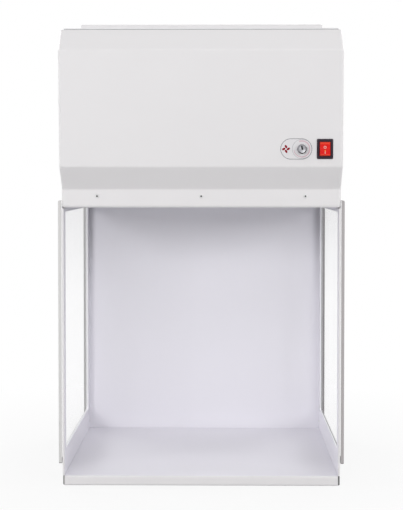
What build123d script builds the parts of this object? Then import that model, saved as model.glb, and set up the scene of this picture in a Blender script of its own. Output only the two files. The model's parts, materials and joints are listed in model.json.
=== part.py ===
from build123d import *
from math import atan2, cos, degrees, radians, sin, sqrt
import os

# Bench-top vertical laminar flow hood, in millimetres.
# +Z is up and the open front faces -Y. The origin lies on the table, under the middle of
# the cabinet's footprint, which is also under the axis of the fan.

# ------------------------------------------------------------------ driving dimensions
# Cabinet
width = 440.0  # over the side panels
depth = 430.0  # front plane to the outside of the back panel
panel = 3.0  # aluminium side panels
sheet = 1.5  # folded sheet everywhere else
seam = 0.5  # open joint between neighbouring covers
slip = 0.2  # clearance of a folded piece between the side panels
toe = 6.0  # set-back of the side panels beside the tray
panel_edge = 1.0  # rounding of the panels' front edges
mitre = 2.0  # cut at the top of the panels' front edges
top_flange = 20.0  # inward flange on top of each side panel
top_bend = 5.0  # outside radius of that flange
back_flange = 14.5  # side flanges of the back panel

# Work tray
tray_height = 16.0
tray_bend = 3.0
tray_hem = 14.0
tray_nut_flats = 6.65
tray_nut_height = 2.4
tray_side_gap = 8.0  # side flanges stop short of the folded lip

# Side windows
window_front = 25.5
window_length = 375.0
window_bottom = 56.0
window_height = 378.5
window_corner = 3.0
pane_length = 414.0
pane_height = 417.3
pane_bottom = 35.0
pane = 5.0
pane_edge = 0.5
tape = 1.0
tape_reach = 12.0
tape_set_back = 0.6

# Folded front cover of the hood, from the lintel up
lintel_bottom = 441.5
lintel_height = 29.0
slope_rise = 34.5
slope_reach = 36.0
face_rise = 180.0
face_lean = 12.0
crown_rise = 34.5
crown_reach = 36.0
cover_return = 19.5
cover_fold = 5.0
cover_edge = 4.0
lintel_bend = 4.3
cover_screw_inset = 56.0  # from the cabinet's sides
cover_screw_height = 18.0

# Top lid and its seal
seal = 1.0
seal_width = 12.0
seal_inset = 0.5
lid_margin = 5.0  # from the cabinet's sides
lid_front = 9.0  # reach of the lid in front of the cabinet's front plane
lid_corner = 3.0
lid_screw_inset = 70.0  # end rows, from the cabinet's sides
lid_screw_front = 13.0
lid_screw_back = 8.0
lid_screw_reach = 100.0  # side rows, either side of the fan's axis

# Prefilter cassette on the lid
cassette_margin = 22.5  # from the lid's sides
cassette_set_back = 41.0  # from the cabinet's front and back
cassette_height = 11.0
cassette_wall = 2.0
cassette_rim = 16.0
cassette_cut = 1.5
pad_lift = 2.4
pad_thickness = 5.0
grille_count_x = 6
grille_count_y = 14
grille_bar = 6.0

# Filter shelf and HEPA filter
shelf_lift = 4.5  # ledge above the lintel's lower edge
shelf_ledge = 27.0
shelf_flange = 22.0
gasket = 5.0
gasket_width = 10.0
hepa_side_gap = 7.0
hepa_end_gap = 6.3
hepa_height = 70.0
hepa_wall = 12.0
hepa_skin = 2.0
media_height = 54.0
media_pitch = 9.0
media_thickness = 0.8
diffuser = 1.0
diffuser_margin = 8.0
diffuser_count_x = 6
diffuser_count_y = 16
diffuser_bar = 8.0
clamp_width = 24.0
clamp_leg = 36.0
clamp_reach = 14.0
clamp_pitch = 240.0

# Fan: inlet ring, backward-curved wheel and external-rotor motor
throat = 60.0  # inside radius of the inlet ring
ring_sheet = 1.2
ring_roll = 20.0
ring_flange = 12.0
ring_neck = 6.0
wheel_radius = 110.0
wheel_gap = 1.5  # radial gap between inlet ring and wheel
wheel_sheet = 1.5
wheel_neck = 5.0
wheel_overlap = 3.8
wheel_cone = 12.0
wheel_height = 55.0
blade_count = 7
blade_inner = 68.0
blade_sheet = 1.6
blade_bow = 9.0
blade_sweep = 46.0
rotor_radius = 46.0
rotor_height = 48.0
rotor_sheet = 2.0
rotor_flange = 10.0
rotor_crown = 5.0
stator_radius = 41.0
stator_base = 8.0
motor_gap = 3.0
shaft_radius = 4.0
running_fit = 0.05
bracket_sheet = 3.0
bracket_arm = 22.0
bracket_hub = 54.0
post_pitch = 250.0
post_size = 10.0

# Controls on the sloping face
control_height = 28.0  # above the lower fold, measured along the face
dial_inset = 64.0  # from the cabinet's right-hand side
dial_length = 49.0
dial_width = 32.4
dial_offset = 8.6
dial_thickness = 0.5
knob_diameter = 14.5
knob_height = 14.0
knob_lift = 0.4
knob_skirt_bore = 12.4
knob_chamfer = 0.8
pointer_width = 1.4
pointer_depth = 0.8
pot_shaft_radius = 3.0
pot_bush_radius = 3.6
pot_bush_length = 6.0
pot_radius = 8.4
pot_depth = 9.0
pot_nut_flats = 10.0
pot_nut_height = 2.0
pot_play = 1.0  # free depth under the shaft
pot_tab_width = 1.6
pot_tab_length = 9.0
pot_tab_sheet = 1.0
pot_tab_pitch = 5.0
rocker_inset = 28.3  # from the cabinet's right-hand side
bezel_width = 25.0
bezel_height = 31.0
bezel_thickness = 2.0
bezel_corner = 1.5
bezel_cut = 0.6
switch_width = 21.6
switch_height = 27.6
switch_depth = 22.0
rocker_width = 17.0
rocker_radius = 11.0
rocker_end_rise = 4.2
rocker_mid_rise = 2.6
rocker_drop = 5.0
rocker_travel = 20.0
rocker_gap = 0.35
pivot_radius = 1.2
pivot_length = 1.0

# Tabs for push-on connectors
tab_sheet = 0.8
tab_width = 6.3
tab_length = 8.0
tab_pitch_x = 10.0
tab_pitch_y = 12.0

# Speed controller board, on the right-hand side panel
board_length = 80.0
board_height = 50.0
board_thickness = 1.6
board_standoff = 8.0
board_inset = 5.0
board_reach = 95.0  # its middle, behind the cabinet's front plane
board_rise = 85.0  # its middle, above the face's lower fold
standoff_flats = 6.0
relay = (12.0, 32.0, 12.0)  # length, height and thickness
relay_spot = (-24.0, 0.0)
choke = (18.0, 22.0, 15.0)
choke_spot = (-1.0, 1.0)
capacitor_radius = 6.0
capacitor_height = 18.0
capacitor_spot = (20.0, 6.0)
sink = (22.0, 16.0, 14.0)
sink_spot = (19.0, -14.0)
sink_base = 2.0
sink_fin = 2.0
sink_fin_count = 5

# Mains inlet in the back panel
inlet_inset = 70.0  # from the cabinet's left-hand side
inlet_rise = 80.0  # above the face's lower fold
inlet_flange_width = 50.0
inlet_flange_height = 23.0
inlet_flange = 2.5
inlet_body_width = 27.0
inlet_body_height = 19.5
inlet_body_depth = 20.0
inlet_socket_width = 23.6
inlet_socket_height = 16.0
inlet_socket_depth = 16.0
inlet_socket_corner = 4.0
inlet_screw_pitch = 40.0
inlet_corner = 3.0
pin_width = 2.0
pin_height = 4.0
pin_length = 12.0
pin_pitch = 7.0
pin_stagger = 2.0

# Fasteners
screw_radius = 1.9
screw_head_radius = 3.4
screw_head = 2.0
screw_bite = 3.0  # reach of a screw past the sheets it joins
socket_flats = 2.5
hole_clearance = 0.25
rivet_clearance = 0.1
blind_web = 0.6  # metal left behind a blind hole in a side panel
rivet_radius = 1.9
rivet_head_radius = 3.2
rivet_head = 1.2
rivet_z = 30.0
rivet_inset = 7.0
hood_rivet_rise = 30.0  # lowest rivet of the hood, above the shelf's flange
hood_rivet_pitch = 105.0
shelf_rivet_inset = 65.0
shelf_rivet_pitch = 100.0
flange_share = 0.6  # place of a fastener across a flange
tray_screw_inset = 60.0
head_round = 0.6  # rounding and socket depth, as a share of the head
rivet_share = 0.8  # rounding of a rivet's head and width of its tail, as shares of the head
clamp_screw_share = 0.65  # height on the clamp's leg
over_cut = 1.0  # reach of a cut past the faces that it goes through
touch = 0.01  # half-width of the band in which an edge is looked for

# ------------------------------------------------------------------ derived positions
front = -depth / 2
back = depth / 2
back_inner = back - sheet
half = width / 2
inner_half = half - panel
fit_half = inner_half - slip
lid_half = half - lid_margin
cassette_size = (2 * (lid_half - cassette_margin), depth - 2 * cassette_set_back)
hepa_size = (2 * (inner_half - hepa_side_gap), depth - 2 * (sheet + slip + hepa_end_gap))
cover_back = front + cover_return
panel_shoulder = lintel_bottom - seam
z_fold_low = lintel_bottom + lintel_height
z_face_low = z_fold_low + slope_rise
z_face_high = z_face_low + face_rise
z_top = z_face_high + crown_rise
y_face_low = front - slope_reach
y_face_high = y_face_low - face_lean
y_crown = y_face_high + crown_reach
z_lid = z_top + seal
z_lid_top = z_lid + sheet
window_mid_y = front + window_front + window_length / 2
window_mid_z = window_bottom + window_height / 2
pane_mid_y = front + pane_length / 2
pane_mid_z = pane_bottom + pane_height / 2
z_shelf = lintel_bottom + shelf_lift
z_gasket = z_shelf + sheet
z_hepa = z_gasket + gasket
z_hepa_top = z_hepa + hepa_height
ring_top = z_lid_top + ring_sheet
ring_end = ring_top - ring_roll - ring_neck
neck_top = ring_end + wheel_overlap
neck_radius = throat + ring_sheet + wheel_gap
wheel_bottom = neck_top - wheel_height
motor_top = wheel_bottom - motor_gap
bracket_top = motor_top - stator_base
dial_x = half - dial_inset
rocker_x = half - rocker_inset
board_y = front + board_reach
board_z = z_face_low + board_rise
inlet_x = inlet_inset - half
inlet_z = z_face_low + inlet_rise
lean = degrees(atan2(face_lean, face_rise))
face = Plane(
    origin=(0, y_face_low, z_face_low),
    x_dir=(1, 0, 0),
    z_dir=(0, -cos(radians(lean)), -sin(radians(lean))),
)
screw_hole = screw_radius + hole_clearance
rivet_hole = rivet_radius + rivet_clearance

os.makedirs("parts", exist_ok=True)


def keep(piece, name):
    """Label a finished piece and write it under its own name."""
    piece.part.label = name
    export_step(piece.part, f"parts/{name}.step")


def box(x, y, z, mode=Mode.ADD):
    """Add or cut a block that spans the given (low, high) pairs."""
    middle = tuple((low + high) / 2 for low, high in (x, y, z))
    size = [high - low for low, high in (x, y, z)]
    with Locations(middle):
        Box(*size, mode=mode)


def cylinder(radius, low, high, mode=Mode.ADD):
    """Add or cut an upright cylinder about the current location's Z axis."""
    with Locations((0, 0, (low + high) / 2)):
        Cylinder(radius, high - low, mode=mode)


def socket_screw(length, head_radius=screw_head_radius):
    """Button-head screw whose head sits on the XY plane and whose shank runs down."""
    with BuildPart(mode=Mode.PRIVATE) as screw:
        cylinder(screw_radius, -length, 0)
        with BuildSketch(Plane.XY):
            Circle(head_radius)
        extrude(amount=screw_head)
        fillet(screw.edges().group_by(Axis.Z)[-1], screw_head * head_round)
        with BuildSketch(Plane.XY.offset(screw_head)):
            RegularPolygon(socket_flats / 2, 6, major_radius=False)
        extrude(amount=-screw_head * head_round, mode=Mode.SUBTRACT)
    return screw.part


def rivet(grip):
    """Blind rivet whose dome sits on the XY plane and whose tail closes below the grip."""
    with BuildPart(mode=Mode.PRIVATE) as pin:
        cylinder(rivet_radius, -grip - rivet_head, 0)
        with BuildSketch(Plane.XY):
            Circle(rivet_head_radius)
        extrude(amount=rivet_head)
        fillet(pin.edges().group_by(Axis.Z)[-1], rivet_head * rivet_share)
        cylinder(rivet_head_radius * rivet_share, -grip - rivet_head, -grip)
    return pin.part


def facing(x, y, z, normal, x_dir=(0, 1, 0)):
    """Location of a fastener whose head looks along the normal."""
    return Plane(origin=(x, y, z), x_dir=x_dir, z_dir=normal).location


def ring_frame(outer, inner, low, high, centre=(0, 0)):
    """Flat rectangular frame between two heights."""
    with BuildSketch(Plane.XY.offset(low)) as frame:
        with Locations(centre):
            Rectangle(*outer)
            Rectangle(*inner, mode=Mode.SUBTRACT)
    extrude(frame.sketch, amount=high - low)


# ------------------------------------------------------------------ fastener positions
sides = {"left": -1, "right": 1}
tray_screw_y = [front + tray_screw_inset, (front + back) / 2, back_inner - tray_screw_inset]
tray_screw_z = tray_height / 2
rivet_y = back_inner - rivet_inset
hood_rivet_z = [
    z_shelf + shelf_flange + hood_rivet_rise + step * hood_rivet_pitch for step in range(3)
]
panel_rivet_z = [rivet_z] + hood_rivet_z
shelf_rivet_z = z_shelf + shelf_flange * flange_share
shelf_rivet_y = [front + shelf_rivet_inset + step * shelf_rivet_pitch for step in range(4)]
cover_screw_z = lintel_bottom + cover_screw_height
cover_screw_x = [cover_screw_inset - half, 0, half - cover_screw_inset]
lid_screw_rows = (front + lid_screw_front, back_inner - lid_screw_back)
lid_screw_columns = (lid_screw_inset - half, 0, half - lid_screw_inset)
lid_screw_points = [(x, y) for y in lid_screw_rows for x in lid_screw_columns]
lid_screw_points += [
    (side * (half - top_flange * flange_share), y * lid_screw_reach)
    for side in (-1, 1)
    for y in (-1, 1)
]
clamp_y = [-clamp_pitch / 2, clamp_pitch / 2]
clamp_screw_z = z_hepa_top + clamp_leg * clamp_screw_share
post_points = [
    (x * post_pitch / 2, y * post_pitch / 2) for x in (-1, 1) for y in (-1, 1)
]
board_holes = [
    (board_y + y * (board_length / 2 - board_inset), board_z + z * (board_height / 2 - board_inset))
    for y in (-1, 1)
    for z in (-1, 1)
]


# ------------------------------------------------------------------ side panels
def side_panel(side):
    """Full-height panel with a window, a tongue beside the tray and a flange on top."""
    outside = side * half
    low = min(outside, side * inner_half)
    pick = -1 if side > 0 else 0
    with BuildPart() as body:
        with BuildSketch(Plane.YZ.offset(low)):
            with BuildLine():
                Polyline(
                    (front + toe, 0),
                    (back_inner, 0),
                    (back_inner, z_top),
                    (cover_back + seam, z_top),
                    (cover_back + seam, panel_shoulder),
                    (front, panel_shoulder),
                    (front, tray_height),
                    (front + toe, tray_height),
                    close=True,
                )
            make_face()
            with Locations((window_mid_y, window_mid_z)):
                RectangleRounded(window_length, window_height, window_corner, mode=Mode.SUBTRACT)
        extrude(amount=panel)
        flange_x = sorted((outside, side * (half - top_flange)))
        box(flange_x, (cover_back + seam, back_inner), (z_top - panel, z_top))
        top_edges = body.edges().filter_by(Axis.Y).group_by(Axis.Z)
        fillet(top_edges[-1].sort_by(Axis.X)[pick], top_bend)
        inner_corner = (
            body.edges()
            .filter_by(Axis.Y)
            .filter_by_position(Axis.Z, z_top - panel - touch, z_top - panel + touch)
            .filter_by_position(Axis.X, side * inner_half - touch, side * inner_half + touch)
        )
        fillet(inner_corner, top_bend - panel)
        shoulder = (
            body.edges()
            .filter_by(Axis.Y)
            .filter_by_position(Axis.Z, panel_shoulder - touch, panel_shoulder + touch)
            .filter_by_position(Axis.X, side * inner_half - touch, side * inner_half + touch)
        )
        chamfer(shoulder, mitre)
        fillet(body.edges().filter_by(Axis.Z).group_by(Axis.Y)[0], panel_edge)
        foot = body.edges().filter_by(Axis.Y).group_by(Axis.Z)[0].sort_by(Axis.X)[pick]
        chamfer(foot, panel_edge)
        cuts = [(y, tray_screw_z, screw_hole) for y in tray_screw_y]
        cuts += [(rivet_y, z, rivet_hole) for z in panel_rivet_z]
        cuts += [(y, shelf_rivet_z, rivet_hole) for y in shelf_rivet_y]
        for y, z, radius in cuts:
            with Locations(facing(side * (inner_half + panel / 2), y, z, (1, 0, 0))):
                Cylinder(radius, panel * 2, mode=Mode.SUBTRACT)
        for y in clamp_y:
            with Locations(facing(side * inner_half, y, clamp_screw_z, (1, 0, 0))):
                Cylinder(screw_hole, 2 * (panel - blind_web), mode=Mode.SUBTRACT)
        for x, y in lid_screw_points:
            if x * side > half - top_flange:
                with Locations((x, y, z_top - panel / 2)):
                    Cylinder(screw_hole, panel * 2, mode=Mode.SUBTRACT)
    return body


for name, side in sides.items():
    keep(side_panel(side), f"{name}_side_panel")


# ------------------------------------------------------------------ side panes
def pane_tape(side):
    """Adhesive foam frame between a side panel and its pane."""
    with BuildPart() as body:
        with BuildSketch(Plane.YZ.offset(min(side * half, side * (half + tape)))):
            with Locations((window_mid_y, window_mid_z)):
                Rectangle(window_length + 2 * tape_reach, window_height + 2 * tape_reach)
                Rectangle(
                    window_length + 2 * tape_set_back,
                    window_height + 2 * tape_set_back,
                    mode=Mode.SUBTRACT,
                )
        extrude(amount=tape)
    return body


def side_pane(side):
    """Clear pane over the window, on the outside of its panel."""
    inner = side * (half + tape)
    outer = side * (half + tape + pane)
    with BuildPart() as body:
        with BuildSketch(Plane.YZ.offset(min(inner, outer))):
            with Locations((pane_mid_y, pane_mid_z)):
                RectangleRounded(pane_length, pane_height, window_corner)
        extrude(amount=pane)
        outer_face = body.faces().filter_by(Axis.X).sort_by(Axis.X)[-1 if side > 0 else 0]
        chamfer(outer_face.edges(), pane_edge)
    return body


for name, side in sides.items():
    keep(pane_tape(side), f"{name}_pane_tape")
    keep(side_pane(side), f"{name}_pane")

# ------------------------------------------------------------------ work tray
tray_back = back_inner - slip
with BuildPart() as tray:
    with BuildSketch(Plane.YZ):
        with BuildLine():
            FilletPolyline(
                (front + tray_hem, 0),
                (front, 0),
                (front, tray_height),
                (tray_back, tray_height),
                (tray_back, 0),
                radius=tray_bend,
            )
            offset(amount=sheet, side=Side.RIGHT)
        make_face()
    extrude(amount=fit_half, both=True)
    for side in sides.values():
        box(
            sorted((side * (fit_half - sheet), side * fit_half)),
            (front + tray_side_gap, tray_back - tray_bend),
            (0, tray_height - sheet),
        )
        for y in tray_screw_y:
            with Locations(facing(side * fit_half, y, tray_screw_z, (1, 0, 0))):
                Cylinder(screw_hole, sheet * 4, mode=Mode.SUBTRACT)
keep(tray, "work_tray")

# Screws run from the tongues of the side panels into nuts behind the tray's flanges.
with BuildPart() as tray_screws:
    for side in sides.values():
        for y in tray_screw_y:
            with Locations(facing(side * half, y, tray_screw_z, (side, 0, 0))):
                add(socket_screw(panel + slip + sheet + screw_bite))
keep(tray_screws, "tray_screws")

with BuildPart() as tray_nuts:
    for side in sides.values():
        for y in tray_screw_y:
            seat = facing(side * (fit_half - sheet), y, tray_screw_z, (-side, 0, 0))
            with BuildSketch(Plane(seat)):
                RegularPolygon(tray_nut_flats / 2, 6, major_radius=False)
                Circle(screw_radius, mode=Mode.SUBTRACT)
            extrude(amount=tray_nut_height)
keep(tray_nuts, "tray_nuts")

# ------------------------------------------------------------------ back panel
wrap_half = half + sheet
flange_top = z_top - top_bend - sheet
lid_seat = half - top_flange - seam
with BuildPart() as back_panel:
    box((-wrap_half, wrap_half), (back_inner, back), (0, flange_top))
    for side in sides.values():
        box(sorted((side * half, side * wrap_half)), (back - back_flange, back), (0, flange_top))
    fillet(back_panel.edges().filter_by(Axis.Z).group_by(Axis.Y)[-1], sheet)
    box((top_bend - half, half - top_bend), (back_inner, back), (flange_top, z_top))
    box((-lid_seat, lid_seat), (back - back_flange, back_inner), (z_top - sheet, z_top))
    for side in sides.values():
        for z in panel_rivet_z:
            with Locations(facing(side * half, rivet_y, z, (1, 0, 0))):
                Cylinder(rivet_hole, sheet * 4, mode=Mode.SUBTRACT)
    for x, y in lid_screw_points:
        if y > back - back_flange:
            with Locations((x, y, z_top)):
                Cylinder(screw_hole, sheet * 4, mode=Mode.SUBTRACT)
    box(
        (inlet_x - inlet_body_width / 2 - slip, inlet_x + inlet_body_width / 2 + slip),
        (back_inner - over_cut, back + over_cut),
        (inlet_z - inlet_body_height / 2 - slip, inlet_z + inlet_body_height / 2 + slip),
        mode=Mode.SUBTRACT,
    )
    for side in sides.values():
        with Locations(facing(inlet_x + side * inlet_screw_pitch / 2, back, inlet_z, (0, 1, 0), (1, 0, 0))):
            Cylinder(screw_hole, sheet * 4, mode=Mode.SUBTRACT)
keep(back_panel, "back_panel")

with BuildPart() as panel_rivets:
    for side in sides.values():
        for z in panel_rivet_z:
            with Locations(facing(side * wrap_half, rivet_y, z, (side, 0, 0))):
                add(rivet(panel + sheet))
        for y in shelf_rivet_y:
            with Locations(facing(side * half, y, shelf_rivet_z, (side, 0, 0))):
                add(rivet(panel + slip + sheet))
keep(panel_rivets, "panel_rivets")


# ------------------------------------------------------------------ front cover
def cover_profile(inset):
    """Side view of the cover, drawn in from its outside by the inset."""
    rear = cover_back + cover_return
    with BuildSketch(Plane.YZ.offset(inset - half)) as profile:
        with BuildLine():
            FilletPolyline(
                (rear, lintel_bottom),
                (front, lintel_bottom),
                (front, z_fold_low),
                (y_face_low, z_face_low),
                (y_face_high, z_face_high),
                (y_crown, z_top),
                (rear, z_top),
                radius=[lintel_bend] + [cover_fold] * 4,
            )
            Line((rear, z_top), (rear, lintel_bottom))
        make_face()
        if inset:
            offset(amount=-inset, mode=Mode.REPLACE)
    return profile.sketch


with BuildPart() as cover_core:
    extrude(cover_profile(sheet), amount=width - 2 * sheet)
    ends = cover_core.faces().filter_by(Axis.X)
    keep_edges = [
        edge
        for end in ends
        for edge in end.edges()
        if edge.center().Y < cover_back + cover_return - sheet - touch
    ]
    fillet(keep_edges, cover_edge - sheet)

with BuildPart() as front_cover:
    extrude(cover_profile(0), amount=width)
    ends = front_cover.faces().filter_by(Axis.X)
    outer_edges = [
        edge
        for end in ends
        for edge in end.edges()
        if edge.center().Y < cover_back + cover_return - touch
    ]
    fillet(outer_edges, cover_edge)
    add(cover_core.part, mode=Mode.SUBTRACT)
    split(bisect_by=Plane(origin=(0, cover_back, 0), z_dir=(0, 1, 0)), keep=Keep.BOTTOM)
    for x in cover_screw_x:
        with Locations(facing(x, front, cover_screw_z, (0, -1, 0), (1, 0, 0))):
            Cylinder(screw_hole, sheet * 4, mode=Mode.SUBTRACT)
    for x, y in lid_screw_points:
        if y < cover_back:
            with Locations((x, y, z_top)):
                Cylinder(screw_hole, sheet * 4, mode=Mode.SUBTRACT)
    with BuildSketch(face.offset(over_cut)):
        with Locations((rocker_x, control_height)):
            Rectangle(switch_width + 2 * slip, switch_height + 2 * slip)
        with Locations((dial_x, control_height)):
            Circle(pot_bush_radius + slip)
    extrude(amount=-sheet - 2 * over_cut, mode=Mode.SUBTRACT)
keep(front_cover, "front_cover")

with BuildPart() as cover_screws:
    for x in cover_screw_x:
        with Locations(facing(x, front, cover_screw_z, (0, -1, 0), (1, 0, 0))):
            add(socket_screw(sheet + slip + sheet + screw_bite))
keep(cover_screws, "front_cover_screws")

# ------------------------------------------------------------------ lid, seal and screws
lid_y = (front - lid_front, back - seam)
lid_size = (2 * lid_half, lid_y[1] - lid_y[0])
lid_mid = (0, sum(lid_y) / 2)
bell_outer = throat + ring_roll
with BuildPart() as top_seal:
    ring_frame(
        (lid_size[0] - 2 * seal_inset, lid_size[1] - 2 * seal_inset),
        (lid_size[0] - 2 * seal_width, lid_size[1] - 2 * seal_width),
        z_top,
        z_lid,
        lid_mid,
    )
    for x, y in lid_screw_points:
        with Locations((x, y, z_top)):
            Cylinder(screw_hole, 4 * seal, mode=Mode.SUBTRACT)
keep(top_seal, "top_seal")

with BuildPart() as lid:
    with BuildSketch(Plane.XY.offset(z_lid)):
        with Locations(lid_mid):
            RectangleRounded(*lid_size, lid_corner)
        Circle(bell_outer + seam, mode=Mode.SUBTRACT)
        with Locations(*lid_screw_points, *post_points):
            Circle(screw_hole, mode=Mode.SUBTRACT)
    extrude(amount=sheet)
keep(lid, "top_lid")

lid_screw_length = sheet + seal + panel + screw_bite
with BuildPart() as lid_screws:
    for x, y in lid_screw_points:
        with Locations((x, y, z_lid_top)):
            add(socket_screw(lid_screw_length))
keep(lid_screws, "lid_screws")

# ------------------------------------------------------------------ prefilter cassette
cassette_low = z_lid_top
cassette_high = cassette_low + cassette_height
with BuildPart() as cassette:
    with BuildSketch(Plane.XY.offset(cassette_low)):
        Rectangle(*cassette_size)
    extrude(amount=cassette_height)
    chamfer(cassette.edges().group_by(Axis.Z)[-1], cassette_cut)
    with BuildSketch(Plane.XY.offset(cassette_low)):
        Rectangle(*[length - 2 * cassette_wall for length in cassette_size])
    extrude(amount=cassette_height - sheet, mode=Mode.SUBTRACT)
    with BuildSketch(Plane.XY.offset(cassette_low)):
        Rectangle(*[length - 2 * cassette_rim for length in cassette_size])
    extrude(amount=cassette_height, mode=Mode.SUBTRACT)
keep(cassette, "prefilter_frame")

inside_width, inside_depth = [length - 2 * cassette_wall - 2 * slip for length in cassette_size]
pad_low = cassette_low + pad_lift
with BuildPart() as pad:
    box(
        (-inside_width / 2, inside_width / 2),
        (-inside_depth / 2, inside_depth / 2),
        (pad_low, pad_low + pad_thickness),
    )
keep(pad, "prefilter_pad")


def slotted_plate(size, margin, counts, bar, low, thickness, centre=(0, 0)):
    """Flat grille plate with rows of rectangular slots."""
    pitch_x = (size[0] - 2 * margin) / counts[0]
    pitch_y = (size[1] - 2 * margin) / counts[1]
    with BuildPart() as plate:
        with BuildSketch(Plane.XY.offset(low)):
            with Locations(centre):
                Rectangle(*size)
                with GridLocations(pitch_x, pitch_y, *counts):
                    Rectangle(pitch_x - bar, pitch_y - bar, mode=Mode.SUBTRACT)
        extrude(amount=thickness)
    return plate


grille_low = pad_low + pad_thickness
grille_high = cassette_high - sheet
keep(
    slotted_plate(
        (inside_width, inside_depth),
        cassette_rim,
        (grille_count_x, grille_count_y),
        grille_bar,
        grille_low,
        grille_high - grille_low,
    ),
    "prefilter_grille",
)

# ------------------------------------------------------------------ filter shelf
shelf_y = (front + sheet + slip, back_inner - slip)
shelf_mid = (0, sum(shelf_y) / 2)
shelf_size = (2 * fit_half, shelf_y[1] - shelf_y[0])
with BuildPart() as shelf:
    ring_frame(
        shelf_size,
        (shelf_size[0] - 2 * sheet, shelf_size[1] - 2 * sheet),
        z_shelf,
        z_shelf + shelf_flange,
        shelf_mid,
    )
    ring_frame(
        shelf_size,
        (shelf_size[0] - 2 * shelf_ledge, shelf_size[1] - 2 * shelf_ledge),
        z_shelf,
        z_shelf + sheet,
        shelf_mid,
    )
    for side in sides.values():
        for y in shelf_rivet_y:
            with Locations(facing(side * fit_half, y, shelf_rivet_z, (1, 0, 0))):
                Cylinder(rivet_hole, sheet * 4, mode=Mode.SUBTRACT)
    for x in cover_screw_x:
        with Locations(facing(x, shelf_y[0], cover_screw_z, (0, -1, 0), (1, 0, 0))):
            Cylinder(screw_hole, sheet * 4, mode=Mode.SUBTRACT)
keep(shelf, "filter_shelf")

diffuser_size = [length - 2 * diffuser_margin for length in shelf_size]
diffuser_rim = shelf_ledge - diffuser_margin
keep(
    slotted_plate(
        (diffuser_size[0] - 2 * diffuser_margin, diffuser_size[1] - 2 * diffuser_margin),
        diffuser_rim,
        (diffuser_count_x, diffuser_count_y),
        diffuser_bar,
        z_shelf - diffuser,
        diffuser,
        shelf_mid,
    ),
    "air_diffuser",
)

# ------------------------------------------------------------------ HEPA filter
with BuildPart() as hepa_gasket:
    ring_frame(
        hepa_size,
        [length - 2 * gasket_width for length in hepa_size],
        z_gasket,
        z_hepa,
        shelf_mid,
    )
keep(hepa_gasket, "filter_gasket")

with BuildPart() as hepa_frame:
    ring_frame(
        hepa_size,
        [length - 2 * hepa_skin for length in hepa_size],
        z_hepa,
        z_hepa_top,
        shelf_mid,
    )
    for low in (z_hepa, z_hepa_top - hepa_skin):
        ring_frame(
            hepa_size,
            [length - 2 * hepa_wall for length in hepa_size],
            low,
            low + hepa_skin,
            shelf_mid,
        )
keep(hepa_frame, "filter_frame")

media_depth = hepa_size[1] - 2 * hepa_skin
pleats = int((hepa_size[0] - hepa_wall) / media_pitch)
media_left = -pleats * media_pitch / 2
wall_shift = media_thickness * sqrt(1 + (2 * media_height / media_pitch) ** 2)
media_low = z_hepa + (hepa_height - media_height - wall_shift) / 2
with BuildPart() as media:
    with BuildSketch(Plane.XZ.offset(-shelf_mid[1])):
        with BuildLine():
            lower = [
                (media_left + step * media_pitch / 2, media_low + (step % 2) * media_height)
                for step in range(2 * pleats + 1)
            ]
            upper = [(x, z + wall_shift) for x, z in reversed(lower)]
            Polyline(*lower, *upper, close=True)
        make_face()
    extrude(amount=media_depth / 2, both=True)
keep(media, "filter_media")

# ------------------------------------------------------------------ filter clamps
clamp_outer = inner_half
with BuildPart() as clamps:
    for side in sides.values():
        for y in clamp_y:
            with BuildSketch(Plane.XZ.offset(-y)):
                with BuildLine():
                    FilletPolyline(
                        (side * clamp_outer, z_hepa_top + clamp_leg),
                        (side * clamp_outer, z_hepa_top),
                        (side * (clamp_outer - clamp_reach), z_hepa_top),
                        radius=2 * sheet,
                    )
                    offset(amount=sheet, side=Side.RIGHT if side > 0 else Side.LEFT)
                make_face()
            extrude(amount=clamp_width / 2, both=True)
            with Locations(facing(side * clamp_outer, y, clamp_screw_z, (1, 0, 0))):
                Cylinder(screw_hole, sheet * 4, mode=Mode.SUBTRACT)
keep(clamps, "filter_clamps")

with BuildPart() as clamp_screws:
    for side in sides.values():
        for y in clamp_y:
            head = side * (clamp_outer - sheet)
            with Locations(facing(head, y, clamp_screw_z, (-side, 0, 0))):
                add(socket_screw(sheet + panel - blind_web))
keep(clamp_screws, "clamp_screws")

# ------------------------------------------------------------------ fan inlet ring
with BuildPart() as inlet_ring:
    with BuildSketch(Plane.XZ):
        with BuildLine():
            flange_line = Line((bell_outer + ring_flange, ring_top), (bell_outer, ring_top))
            roll = JernArc(flange_line @ 1, (-1, 0), ring_roll, 90)
            Line(roll @ 1, (throat, ring_end))
            offset(amount=ring_sheet, side=Side.LEFT)
        make_face()
    revolve(axis=Axis.Z)
keep(inlet_ring, "inlet_ring")

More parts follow.
